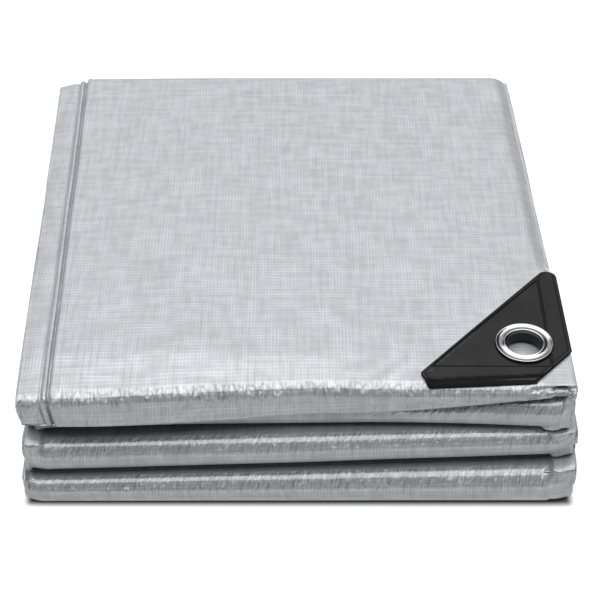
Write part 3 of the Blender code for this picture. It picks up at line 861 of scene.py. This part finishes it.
class SheetMesh:
    """A closed mesh grown ring by ring, whose rings may have different numbers of points."""

    def __init__(self):
        self.mesh = bmesh.new()
        self.cloth_map = self.mesh.loops.layers.uv.new("cloth")
        self.last = None

    def chains(self, sides, total):
        """The ring's four sides as chains of (share, vertex, distance round the ring)."""
        made = [[(knot.share, self.mesh.verts.new(knot.point), knot.around) for knot in side]
                for side in sides]
        near, right, far, left = made
        right = [(0.0, *near[-1][1:])] + right + [(1.0, *far[0][1:])]
        left = [(0.0, *far[-1][1:])] + left + [(1.0, near[0][1], total)]
        return near, right, far, left

    def face(self, corners):
        """One face of (vertex, distance round, path) corners."""
        face = self.mesh.faces.new([corner[0] for corner in corners])
        face.smooth = True
        for loop, corner in zip(face.loops, corners):
            loop[self.cloth_map].uv = corner[1:]

    def stitch(self, near, far, near_path, far_path):
        """Faces from one chain to the next, which may have another number of points."""
        one = [(vertex, around, near_path) for _, vertex, around in near]
        two = [(vertex, around, far_path) for _, vertex, around in far]
        if len(one) == len(two):
            for index in range(len(one) - 1):
                self.face((one[index], one[index + 1], two[index + 1], two[index]))
            return
        i = j = 0
        while i < len(one) - 1 or j < len(two) - 1:
            ahead = j == len(two) - 1
            if ahead or (i < len(one) - 1 and near[i + 1][0] <= far[j + 1][0]):
                self.face((one[i], one[i + 1], two[j]))
                i += 1
            else:
                self.face((one[i], two[j + 1], two[j]))
                j += 1

    def cap(self, chains, path):
        """Closes an end of the sheet from its one face straight across to the other."""
        near, right, far, left = chains
        back = [(1.0 - share, vertex, around) for share, vertex, around in reversed(far)]
        self.stitch(near, back, path, path)
        for side in (right, left):
            self.face([(vertex, around, path) for _, vertex, around in side])

    def add(self, sides, total, path):
        """Joins one more ring to the sheet, which the first ring closes."""
        chains = self.chains(sides, total)
        if self.last is None:
            self.cap(chains, path)
        else:
            for near, far in zip(self.last[0], chains):
                self.stitch(near, far, self.last[1], path)
        self.last = (chains, path)


def cut_round_hole(mesh, centre):
    """Opens the flap round the eyelet and joins its two faces along the hole's edge."""
    inside = [
        face for face in mesh.faces
        if (face.calc_center_median().xy - centre.xy).length < HOLE_RADIUS
        and abs(face.calc_center_median().z - centre.z) < SHEET
    ]
    bmesh.ops.delete(mesh, geom=inside, context="FACES")
    rim = [edge for edge in mesh.edges if edge.is_boundary]
    for vertex in {vertex for edge in rim for vertex in edge.verts}:
        away = vertex.co.xy - centre.xy
        vertex.co.xy = centre.xy + away.normalized() * HOLE_RADIUS
    made = bmesh.ops.bridge_loops(mesh, edges=rim)
    for face in made["faces"]:
        face.smooth = True


def flap_share(x, y):
    """Place across the flap of a point on it, 0 at its left edge and 1 at its right."""
    left, right = sides_at(max(y, 0.0), FLAP)
    return (x - left) / (right - left)


def eyelet_centre():
    """The eyelet's place in the middle of the flap's cloth."""
    _, z, _, _ = over_crease(flap_share(EYELET_X, EYELET_Y), EYELET_Y, 0.0)
    return Vector((EYELET_X, EYELET_Y, z))


def frame_shift():
    """From the folds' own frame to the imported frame: by the eyelet's place."""
    low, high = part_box("eyelet_ring")
    middle = (low + high) / 2
    return Vector((middle.x - EYELET_X, middle.y - EYELET_Y, 0.0))


def new_piece(name, builder, material):
    """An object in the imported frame, from a mesh worked out in the folds' frame."""
    bmesh.ops.translate(builder, verts=builder.verts, vec=frame_shift())
    mesh = bpy.data.meshes.new(name)
    builder.to_mesh(mesh)
    builder.free()
    mesh.materials.append(material)
    return placed(name, mesh)


def cloth_mesh(pucker):
    """The whole sheet as one mesh, and its length from end to end."""
    rows = sheet_rows(pucker)
    sheet = SheetMesh()
    path = 0.0
    before = None
    for row in rows:
        y, z, _, _, _ = row.place(0.5)
        here = Vector((y, z))
        if before is not None:
            path += (here - before).length
        before = here
        sheet.add(*ring_sides(row, path), path)
    sheet.cap(sheet.last[0], path)
    bmesh.ops.recalc_face_normals(sheet.mesh, faces=sheet.mesh.faces)
    cut_round_hole(sheet.mesh, eyelet_centre())
    bmesh.ops.recalc_face_normals(sheet.mesh, faces=sheet.mesh.faces)
    return sheet.mesh, path


# Shader maths

def joining(operation, reflected=False):
    """A method that joins a socket and another value in a Math node."""
    def method(self, other):
        return self.maths(operation, *((other, self) if reflected else (self, other)))
    return method


class Socket:
    """An output socket of a material, with the usual operators as Math nodes."""

    def __init__(self, shade, link):
        self.shade = shade
        self.link = link

    def maths(self, operation, *values):
        return self.shade.node("ShaderNodeMath", {"operation": operation}, values)

    __add__, __radd__ = joining("ADD"), joining("ADD", reflected=True)
    __sub__, __rsub__ = joining("SUBTRACT"), joining("SUBTRACT", reflected=True)
    __mul__, __truediv__, __pow__ = joining("MULTIPLY"), joining("DIVIDE"), joining("POWER")

    def __abs__(self):
        return self.maths("ABSOLUTE", self)

    def wave(self):
        return self.maths("SINE", self)

    def floor(self):
        return self.maths("FLOOR", self)

    def clamped(self, low=0.0, high=1.0):
        values = {"Value": self, "Min": low, "Max": high}
        return self.shade.node("ShaderNodeClamp", {}, values, "Result")


class Shade:
    """One node material. Its shader's constants are set on the shader's own sockets."""

    def __init__(self, name, **constants):
        self.material = bpy.data.materials.new(name)
        self.material.use_nodes = True
        self.tree = self.material.node_tree
        self.shader = self.tree.nodes["Principled BSDF"]
        for socket, value in constants.items():
            self.shader.inputs[socket.replace("_", " ")].default_value = value

    def node(self, kind, settings, values, output=0):
        """A node of that type: its settings first, then the values or links of its sockets."""
        node = self.tree.nodes.new(kind)
        for name, value in settings.items():
            setattr(node, name, value)
        for name, value in values.items() if isinstance(values, dict) else enumerate(values):
            self.feed(node.inputs[name], value)
        return Socket(self, node.outputs[output])

    def feed(self, socket, value):
        if isinstance(value, Socket):
            self.tree.links.new(value.link, socket)
        else:
            socket.default_value = value

    def shader_input(self, name, value):
        self.feed(self.shader.inputs[name], value)

    def mixed(self, share, first, second):
        """One colour blended with another."""
        values = {"Factor": share, "A": first, "B": second}
        return self.node("ShaderNodeMix", {"data_type": "RGBA"}, values, "Result")

    def split(self, vector):
        """The X, Y and Z of a vector."""
        x = self.node("ShaderNodeSeparateXYZ", {}, (vector,))
        return [Socket(self, output) for output in x.link.node.outputs]

    def joined(self, x, y, z=0.0):
        return self.node("ShaderNodeCombineXYZ", {}, (x, y, z))

    def noise(self, vector, scale, detail=2.0, roughness=0.5):
        values = {"Vector": vector, "Scale": scale, "Detail": detail, "Roughness": roughness}
        return self.node("ShaderNodeTexNoise", {}, values, "Fac")

    def bump(self, height, distance, strength=1.0):
        values = {"Height": height, "Distance": distance, "Strength": strength}
        self.shader_input("Normal", self.node("ShaderNodeBump", {}, values, "Normal"))

    def place(self):
        """A point's place on its object."""
        return self.node("ShaderNodeTexCoord", {}, (), "Object")

    def facing(self):
        """X, Y and Z of the direction that the surface faces."""
        return self.split(self.node("ShaderNodeNewGeometry", {}, (), "Normal"))


def opaque(colour, share=1.0):
    """A share of a colour, with full alpha."""
    return (*[min(1.0, share * part) for part in colour], 1.0)


# Woven tapes: how much wider the ones across are, how far they wander, and their lines
WEFT_WIDER = 1.3
WARP_WANDERS, WEFT_WANDERS, WANDER_SCALE = 0.45, 0.35, 70.0
WARP_STEP, WEFT_STEP, TAPE_RUN = 0.91, 0.87, 0.08
LINE_POWER, LINE_FROM, LINE_GAIN = 2.0, 0.42, 5.0
TONE, TONE_STREAKS, TONE_LINES, TONE_PATCHES = 0.33, 0.55, 0.75, 0.2
DARK_TAPE, LIGHT_TAPE = 0.78, 1.28

# Laminate: its gloss, more of it on the bends, and the height of its crumples and dents
BEND_FROM, BEND_GAIN, UPWARD_FROM, UPWARD_GAIN = 0.10, 4.0, 0.02, 3.0
ROUGH, ROUGH_STREAKS, ROUGH_PATCHES, ROUGH_RANGE = 0.38, 0.20, 0.10, (0.2, 0.6)
COAT, COAT_STREAKS, COAT_BENDS, COAT_RANGE = 0.16, 0.3, 0.9, (0.02, 1.0)
CRUMPLE_STRETCH, LOOP_SHARPNESS, CREASE_SHARPNESS = 0.55, 8.0, 2.6
LOOP_HEIGHT, CREASE_HEIGHT, DENT_HEIGHT = 1.1, 1.3, 0.16
CRUMPLE_LEAST, CRUMPLE_PATCHES = 0.1, 2.2
LINE_HEIGHT, TAPE_HEIGHT, LAMINATE_BUMP = 0.055, 0.02, 0.0006


def laminate_finish(colour, tape):
    """Silver woven tapes under a clear laminate: crossing lines, streaks, dents and crumples."""
    shade = Shade("silver_laminate", Metallic=0.15, IOR=1.5, Coat_Roughness=0.17, Coat_IOR=1.8)
    across, along, _ = shade.split(shade.node("ShaderNodeUVMap", {"uv_map": "cloth"}, ()))
    place = shade.joined(across, along)
    turned_place = shade.joined(along, across)
    u = across / tape + shade.noise(place, scale=WANDER_SCALE, detail=1.0) * WARP_WANDERS
    v = along / (WEFT_WIDER * tape)
    v = v + shade.noise(turned_place, scale=WANDER_SCALE, detail=1.0) * WEFT_WANDERS
    warp = (u * math.pi).wave()
    weft = (v * math.pi).wave()
    warp_at = shade.joined(u.floor() * WARP_STEP, v * TAPE_RUN)
    weft_at = shade.joined(u * TAPE_RUN, v.floor() * WEFT_STEP, 4.0)
    tones = [shade.noise(at, scale=1.0, roughness=0.6) for at in (warp_at, weft_at)]
    edges = [(1.0 - abs(tape_wave)) ** LINE_POWER for tape_wave in (warp, weft)]
    shown = [((tone - LINE_FROM) * LINE_GAIN).clamped() for tone in tones]
    lines = edges[0] * shown[0] + edges[1] * shown[1]
    streaks = (tones[0] - 0.5) + (tones[1] - 0.5)
    patchy = shade.noise(place, scale=22.0, detail=3.0, roughness=0.55)
    uneven = patchy - 0.5
    tone = (TONE + streaks * TONE_STREAKS + lines * TONE_LINES + uneven * TONE_PATCHES).clamped()
    mixed = shade.mixed(tone, opaque(colour, DARK_TAPE), opaque(colour, LIGHT_TAPE))
    shade.shader_input("Base Color", mixed)
    _, forward, upward = shade.facing()
    bends = ((abs(forward) - BEND_FROM) * BEND_GAIN).clamped()
    bends = bends * ((upward - UPWARD_FROM) * UPWARD_GAIN).clamped()
    rough = ROUGH - streaks * ROUGH_STREAKS + uneven * ROUGH_PATCHES
    shade.shader_input("Roughness", rough.clamped(*ROUGH_RANGE))
    coat = COAT + streaks * COAT_STREAKS + bends * COAT_BENDS
    shade.shader_input("Coat Weight", coat.clamped(*COAT_RANGE))
    stretched = shade.joined(across, along * CRUMPLE_STRETCH)
    loops = abs(shade.noise(stretched, scale=210.0, detail=1.0) - 0.5) * LOOP_SHARPNESS
    creased = abs(shade.noise(stretched, scale=330.0, detail=1.0) - 0.5) * CREASE_SHARPNESS
    crumples = (1.0 - loops).clamped() * LOOP_HEIGHT + creased * CREASE_HEIGHT
    crumples = crumples * bends * (CRUMPLE_LEAST + patchy * CRUMPLE_PATCHES)
    dents = shade.noise(shade.joined(across, along, 2.0), scale=240.0, detail=3.0, roughness=0.6)
    height = crumples + dents * DENT_HEIGHT + lines * LINE_HEIGHT + warp * weft * TAPE_HEIGHT
    shade.bump(height, LAMINATE_BUMP)
    return shade.material


# Plastic: its tone and gloss where it faces up, and its grain
DARK_PLASTIC, LIGHT_PLASTIC = 0.8, 1.3
FLAT_FROM, FLAT_GAIN = 0.965, 40.0
PLASTIC_COAT, PLASTIC_COAT_CLOUDS = 0.22, 0.25
PLASTIC_ROUGH, CLOUDS_ROUGH, GRAIN_ROUGH = 0.30, 0.10, 0.08
CLOUDS_HEIGHT, PLASTIC_BUMP, FINE_BUMP_STRENGTH = 0.6, 0.00006, 0.5


def plastic_finish(colour):
    """Satin black moulded plastic with a fine grain."""
    shade = Shade("black_plastic", IOR=1.46, Specular_IOR_Level=0.03, Coat_Roughness=0.2)
    place = shade.place()
    grain = shade.noise(place, scale=1800.0)
    clouds = shade.noise(place, scale=60.0, detail=3.0)
    mixed = shade.mixed(clouds, opaque(colour, DARK_PLASTIC), opaque(colour, LIGHT_PLASTIC))
    shade.shader_input("Base Color", mixed)
    _, _, upward = shade.facing()
    coat = PLASTIC_COAT + clouds * PLASTIC_COAT_CLOUDS
    shade.shader_input("Coat Weight", ((upward - FLAT_FROM) * FLAT_GAIN).clamped() * coat)
    rough = PLASTIC_ROUGH + clouds * CLOUDS_ROUGH + grain * GRAIN_ROUGH
    shade.shader_input("Roughness", rough)
    shade.bump(grain + clouds * CLOUDS_HEIGHT, PLASTIC_BUMP, FINE_BUMP_STRENGTH)
    return shade.material


# Metal: worn places, and the barrel, which is duller and darkened with painted shade
WORN_METAL = 0.86
METAL_ROUGH, WEAR_ROUGH, BARREL_ROUGH = 0.13, 0.12, 0.25
WEAR_HEIGHT, SCRATCH_HEIGHT, METAL_BUMP = 0.7, 0.2, 0.00005


def metal_finish(colour):
    """Polished rolled metal, dull inside the barrel and darkened there by painted shade."""
    shade = Shade("polished_metal", Metallic=1.0)
    place = shade.place()
    wear = shade.noise(place, scale=260.0, detail=4.0, roughness=0.6)
    scratches = shade.noise(place, scale=2600.0)
    _, _, height = shade.split(place)
    seat = eyelet_centre().z + SHEET / 2 + PIECE_GAP + PATCH_THICK
    # Painted shade: below the patch's top the metal turns dark and dull, inside the barrel
    barrel_dull_and_shaded = ((seat - height) / BARREL_FADE).clamped()
    worn = shade.mixed(wear, opaque(colour, WORN_METAL), opaque(colour))
    shade.shader_input("Base Color", shade.mixed(barrel_dull_and_shaded, worn, BARREL_PAINTED_SHADE))
    rough = METAL_ROUGH + wear * WEAR_ROUGH + barrel_dull_and_shaded * BARREL_ROUGH
    shade.shader_input("Roughness", rough)
    height = wear * WEAR_HEIGHT + scratches * SCRATCH_HEIGHT
    shade.bump(height, METAL_BUMP, FINE_BUMP_STRENGTH)
    return shade.material


def floor_finish(colour):
    """Pale floor that glows, but for a painted contact shadow along the foot of the bundle."""
    shade = Shade("pale_floor", Roughness=0.9, Base_Color=colour, Emission_Strength=FLOOR_GLOW)
    x, y, _ = shade.split(shade.place())
    # Painted contact shadow: the glow fades to black close to the bundle's foot
    past_side = (abs(x - FOOT_MIDDLE) - FOOT_WIDTH / 2).clamped()
    past_end = (abs(y) - FOOT_DEPTH / 2).clamped()
    away = (past_side * past_side + past_end * past_end) ** 0.5
    clear = (away / FOOT_SHADOW_WIDTH).clamped() ** FOOT_SHADOW_POWER
    glow = shade.mixed(clear, opaque((0.0, 0.0, 0.0)), opaque(WHITE))
    shade.shader_input("Emission Color", glow)
    return shade.material


# Patch and eyelet

def patch_outline(inset):
    """The patch's outline drawn in by inset, as points (x, distance over the crease)."""
    lean = SKEW / DEPTH
    corners = (
        (POINT_CUT_X, PATCH_FRONT, POINT_ROUND),
        (FLAP_RIGHT - TIP_CUT_X, PATCH_FRONT + FRONT_SLANT, TIP_ROUND),
        (FLAP_RIGHT + PATCH_OVER_FRONT + lean * TIP_CUT_Y, PATCH_FRONT + TIP_CUT_Y, TIP_ROUND),
        (FLAP_RIGHT + PATCH_OVER_BACK + lean * PATCH_BACK, PATCH_BACK, BACK_POINT_ROUND),
        (POINT_CUT_X - POINT_SLANT, POINT_CUT_Y, POINT_ROUND),
    )
    return rounded(corners, inset)


def rounded(corners, inset):
    """A closed outline of corners (x, y, radius), drawn in by inset and rounded."""
    points = []
    for index, (x, y, round_to) in enumerate(corners):
        here = Vector((x, y))
        into = (here - Vector(corners[index - 1][:2])).normalized()
        away = (Vector(corners[(index + 1) % len(corners)][:2]) - here).normalized()
        normals = [Vector((-d.y, d.x)) for d in (into, away)]
        bisector = (normals[0] + normals[1]).normalized()
        depth = 1.0 / bisector.dot(normals[0])
        radius = max(round_to - inset, LEAST_ROUND)
        middle = here + bisector * depth * (inset + radius)
        start = math.atan2(-normals[0].y, -normals[0].x)
        sweep = (math.atan2(-normals[1].y, -normals[1].x) - start) % (2.0 * math.pi)
        for angle in spread(start, start + sweep, PATCH_ARC):
            points.append(middle + radius * Vector((math.cos(angle), math.sin(angle))))
    return points


def loft(builder, rings, ends):
    """Closed rings of points joined one to the next, with both ends closed or joined round."""
    loops = [[builder.verts.new(point) for point in ring] for ring in rings]
    following = loops[1:] if ends else loops[1:] + loops[:1]
    for near, far in zip(loops, following):
        for index in range(len(near)):
            after = (index + 1) % len(near)
            builder.faces.new((near[index], near[after], far[after], far[index]))
    if ends:
        builder.faces.new(loops[0])
        builder.faces.new(loops[-1])


def bead_sides():
    """The sides of the patch's raised line, a triangle, as pairs of corners."""
    corners = [Vector(corner) for corner in BEAD_CORNERS]
    return list(zip(corners, corners[1:] + corners[:1]))


def bead_cuts():
    """Cuts along the raised line, as points and directions."""
    for start, end in bead_sides():
        normal = Vector((start.y - end.y, end.x - start.x, 0.0)).normalized()
        for share in BEAD_CUTS:
            yield start.to_3d() + normal * share * BEAD_WIDTH, normal


def bead_height(x, along):
    """Height of the raised line over a point of the patch. It stops at the eyelet."""
    point = Vector((x, along))
    nearest = BEAD_WIDTH
    for start, end in bead_sides():
        side = end - start
        share = clamp((point - start).dot(side) / side.length_squared)
        nearest = min(nearest, (point - start - side * share).length)
    from_eyelet = (point - Vector((EYELET_X, EYELET_Y))).length
    beyond = smooth(EYELET_OUTER, EYELET_OUTER + BEAD_FADE, from_eyelet)
    return BEAD_HEIGHT * beyond * max(1.0 - (2.0 * nearest / BEAD_WIDTH) ** 2, 0.0)


def on_lip(x, along, z):
    """Height of a patch point, which slopes down in front of a slanting raised line."""
    share = (x - POINT_CUT_X) / (FLAP_RIGHT - TIP_CUT_X - POINT_CUT_X)
    start = mix(LIP_LEFT, LIP_RIGHT, share)
    end = PATCH_FRONT + FRONT_SLANT * share
    if z > PATCH_THICK / 2 and share < LIP_PAST_TIP:
        z += LIP_RIDGE * math.exp(-((along - start) / LIP_RIDGE_WIDTH) ** 2)
        if along < start:
            z = mix(LIP_END, z, max(along - end, 0.0) / (start - end))
    return z


def patch_mesh(rim):
    """The patch as a flat plate, then bent over the crease with the flap under it."""
    builder = bmesh.new()
    side = PATCH_EDGE_SHARE * PATCH_THICK
    profile = [(PATCH_EDGE, 0.0), (0.0, PATCH_EDGE), (0.0, side)]
    top = PATCH_THICK + rim
    for angle in spread(0.0, math.pi / 2, RIM_STEPS):
        profile.append((PATCH_EDGE * (1.0 - math.cos(angle)), mix(side, top, math.sin(angle))))
    for angle in spread(0.0, math.pi, SLOPE_STEPS):
        share = (1.0 - math.cos(angle)) / 2
        profile.append((PATCH_RIM_WIDTH + RIM_SLOPE * share, mix(top, PATCH_THICK, share)))
    rings = [[(*point, z) for point in patch_outline(inset)] for inset, z in profile]
    loft(builder, rings, True)
    cuts = list(bead_cuts())
    for step in range(PATCH_ROWS):
        along = mix(PATCH_FRONT, PATCH_BACK, (step / PATCH_ROWS) ** PATCH_ROWS_POWER)
        cuts.append(((0.0, along, 0.0), (0.0, 1.0, 0.0)))
    for place in spread(POINT_CUT_X, FLAP_RIGHT, PATCH_COLUMNS):
        cuts.append(((place, 0.0, 0.0), (1.0, 0.0, 0.0)))
    for place, normal in cuts:
        bmesh.ops.bisect_plane(
            builder, geom=builder.verts[:] + builder.edges[:] + builder.faces[:],
            dist=CUT_MERGE, plane_co=place, plane_no=normal,
        )
    bmesh.ops.triangulate(builder, faces=[face for face in builder.faces if len(face.verts) > 4])
    for vertex in builder.verts:
        x, along, z = vertex.co
        if z > side:
            z += bead_height(x, along)
        lift = SHEET / 2 + PIECE_GAP + on_lip(x, along, z)
        y, z, _, _ = over_crease(flap_share(x, along), along, lift)
        vertex.co = (x, y, z)
    bmesh.ops.recalc_face_normals(builder, faces=builder.faces)
    return builder


def turned(profile):
    """A ring turned from a closed profile of (radius, height) about the eyelet's axis."""
    builder = bmesh.new()
    centre = eyelet_centre()
    rings = []
    for index in range(ROUND_STEPS):
        angle = 2.0 * math.pi * index / ROUND_STEPS
        across, along = math.cos(angle), math.sin(angle)
        rings.append([centre + Vector((r * across, r * along, z)) for r, z in profile])
    loft(builder, rings, False)
    bmesh.ops.recalc_face_normals(builder, faces=builder.faces)
    return builder


def ring_profile(dome):
    """The eyelet's flange with its rolled outer edge, shallow valley and inner lip, and barrel."""
    seat = SHEET / 2 + 2 * PIECE_GAP + PATCH_THICK
    foot = -SHEET / 2 - 2 * PIECE_GAP - WASHER_THICK
    wall = EYELET_BORE + EYELET_WALL
    profile = [(wall, foot), (wall, seat), (EYELET_OUTER - OUTER_ROLL, seat)]
    for turn in spread(-math.pi / 2, math.pi / 2, ROLL_STEPS):
        radius = EYELET_OUTER - OUTER_ROLL * (1.0 - math.cos(turn))
        profile.append((radius, seat + OUTER_ROLL * (1.0 + math.sin(turn))))
    outer, inner = EYELET_OUTER - OUTER_ROLL, EYELET_BORE + INNER_ROLL
    for share in spread(0.0, 1.0, VALLEY_STEPS)[1:-1]:
        height = mix(2.0 * OUTER_ROLL, dome, smooth(0.0, 1.0, share))
        valley = VALLEY_DEPTH * math.sin(math.pi * share)
        profile.append((mix(outer, inner, share), seat + height - valley))
    for turn in spread(0.0, math.pi / 2, LIP_STEPS):
        radius = EYELET_BORE + INNER_ROLL * (1.0 - math.sin(turn))
        profile.append((radius, seat + dome - INNER_ROLL * (1.0 - math.cos(turn))))
    profile += [(EYELET_BORE, seat - INNER_ROLL), (EYELET_BORE, foot)]
    return profile


# Stage

def placed(name, data):
    """A new object of that data in the scene."""
    piece = bpy.data.objects.new(name, data)
    bpy.context.scene.collection.objects.link(piece)
    return piece


def area_light(name, place, target, size, power):
    """A soft rectangular lamp that points at a target."""
    data = bpy.data.lights.new(name, "AREA")
    data.shape = "RECTANGLE"
    data.size, data.size_y = size
    data.energy = power
    lamp = placed(name, data)
    lamp.location = place
    lamp.rotation_euler = (Vector(target) - Vector(place)).to_track_quat("-Z", "Y").to_euler()


class TARP_OT_stage(bpy.types.Operator):
    """Adds the camera, the pale floor and the soft studio light"""

    bl_idname = "tarp.stage"
    bl_label = "Camera, floor and light"

    def execute(self, context):
        settings = context.scene.tarp_stage
        camera = bpy.data.cameras.new("camera")
        camera.lens = settings.lens
        camera.sensor_width = SENSOR_WIDTH
        view = placed("camera", camera)
        view.location = frame_shift() + Vector((0.0, CAMERA_Y, CAMERA_Z))
        view.rotation_euler = (math.radians(90.0) - settings.pitch, 0.0, 0.0)
        context.scene.camera = view
        builder = bmesh.new()
        bmesh.ops.create_grid(builder, x_segments=1, y_segments=1, size=FLOOR_SIZE)
        mesh = bpy.data.meshes.new("floor")
        builder.to_mesh(mesh)
        builder.free()
        mesh.materials.append(floor_finish(opaque(settings.floor)))
        floor = placed("floor", mesh)
        world = context.scene.world or bpy.data.worlds.new("studio")
        context.scene.world = world
        world.use_nodes = True
        sky = world.node_tree.nodes["Background"]
        sky.inputs["Color"].default_value = opaque(WHITE)
        sky.inputs["Strength"].default_value = SKY_GLOW
        context.scene.view_settings.view_transform = "Standard"
        area_light(
            "back_panel", place=(0.0, 2.20, 1.30), target=(0.0, 0.0, 0.05),
            size=(2.2, 1.40), power=9.6,
        )
        area_light(
            "top_panel", place=(0.0, 0.10, 1.50), target=(0.0, 0.10, 0.0),
            size=(2.4, 2.30), power=66.0,
        )
        return {"FINISHED"}


class TARP_OT_cloth(bpy.types.Operator):
    """Lays the fine cloth on the solids' folds"""

    bl_idname = "tarp.cloth"
    bl_label = "Folded cloth"

    def execute(self, context):
        settings = context.scene.tarp_cloth
        builder, length = cloth_mesh(settings.pucker)
        material = laminate_finish(tuple(settings.colour), settings.tape)
        cloth = new_piece("tarp_sheet", builder, material)
        cloth.data.set_sharp_from_angle(angle=CLOTH_SHARP)
        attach(cloth, "root")
        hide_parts("tarp_cloth", "corner_strip")
        return {"FINISHED"}


def drill(patch, context):
    """Cuts the eyelet's hole through the patch."""
    hole = bmesh.new()
    bmesh.ops.create_cone(
        hole, cap_ends=True, segments=ROUND_STEPS,
        radius1=HOLE_RADIUS, radius2=HOLE_RADIUS, depth=DRILL_LENGTH,
    )
    bmesh.ops.translate(hole, verts=hole.verts, vec=eyelet_centre())
    cutter = new_piece("patch_hole", hole, patch.data.materials[0])
    cut = patch.modifiers.new("hole", "BOOLEAN")
    cut.object = cutter
    cut.operation = "DIFFERENCE"
    shaped = patch.evaluated_get(context.evaluated_depsgraph_get())
    drilled = bpy.data.meshes.new_from_object(shaped)
    patch.modifiers.clear()
    patch.data = drilled
    bpy.data.objects.remove(cutter)


class TARP_OT_patch(bpy.types.Operator):
    """Builds the moulded corner patch with its rim and raised line"""

    bl_idname = "tarp.patch"
    bl_label = "Corner patch"

    def execute(self, context):
        settings = context.scene.tarp_patch
        material = plastic_finish(tuple(settings.colour))
        patch = new_piece("moulded_patch", patch_mesh(settings.rim), material)
        drill(patch, context)
        patch.data.shade_smooth()
        patch.data.set_sharp_from_angle(angle=PATCH_SHARP)
        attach(patch, "root")
        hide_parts("corner_patch")
        return {"FINISHED"}


class TARP_OT_eyelet(bpy.types.Operator):
    """Builds the polished eyelet ring and finishes its washer"""

    bl_idname = "tarp.eyelet"
    bl_label = "Eyelet"

    def execute(self, context):
        settings = context.scene.tarp_eyelet
        metal = metal_finish(tuple(settings.colour))
        ring = new_piece("rolled_ring", turned(ring_profile(settings.dome)), metal)
        ring.data.shade_smooth()
        ring.data.set_sharp_from_angle(angle=RING_SHARP)
        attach(ring, "root")
        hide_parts("eyelet_ring")
        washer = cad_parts["eyelet_washer"]
        washer.data.materials.clear()
        washer.data.materials.append(metal)
        return {"FINISHED"}


class TARP_PT_panel(bpy.types.Panel):
    """Lists the tarp's pieces and their settings"""

    bl_idname = "TARP_PT_panel"
    bl_label = "Folded tarp"
    bl_space_type = "VIEW_3D"
    bl_region_type = "UI"
    bl_category = "Tarp"

    def draw(self, context):
        for operator, group, names in PANEL_ROWS:
            box = self.layout.box()
            box.operator(operator)
            for name in names:
                box.prop(getattr(context.scene, group), name)


PANEL_ROWS = (
    ("tarp.stage", "tarp_stage", ("floor", "lens", "pitch")),
    ("tarp.cloth", "tarp_cloth", ("colour", "tape", "pucker")),
    ("tarp.patch", "tarp_patch", ("colour", "rim")),
    ("tarp.eyelet", "tarp_eyelet", ("colour", "dome")),
)
GROUPS = {
    "tarp_stage": TarpStageSettings,
    "tarp_cloth": TarpClothSettings,
    "tarp_patch": TarpPatchSettings,
    "tarp_eyelet": TarpEyeletSettings,
}
CLASSES = (
    *GROUPS.values(), TARP_OT_stage, TARP_OT_cloth, TARP_OT_patch, TARP_OT_eyelet, TARP_PT_panel
)


def register():
    for kind in CLASSES:
        bpy.utils.register_class(kind)
    for name, kind in GROUPS.items():
        setattr(bpy.types.Scene, name, PointerProperty(type=kind))


def unregister():
    for name in GROUPS:
        delattr(bpy.types.Scene, name)
    for kind in reversed(CLASSES):
        bpy.utils.unregister_class(kind)


def main():
    register()
    bpy.ops.tarp.stage()
    bpy.ops.tarp.cloth()
    bpy.ops.tarp.patch()
    bpy.ops.tarp.eyelet()


if __name__ == "__main__":
    main()
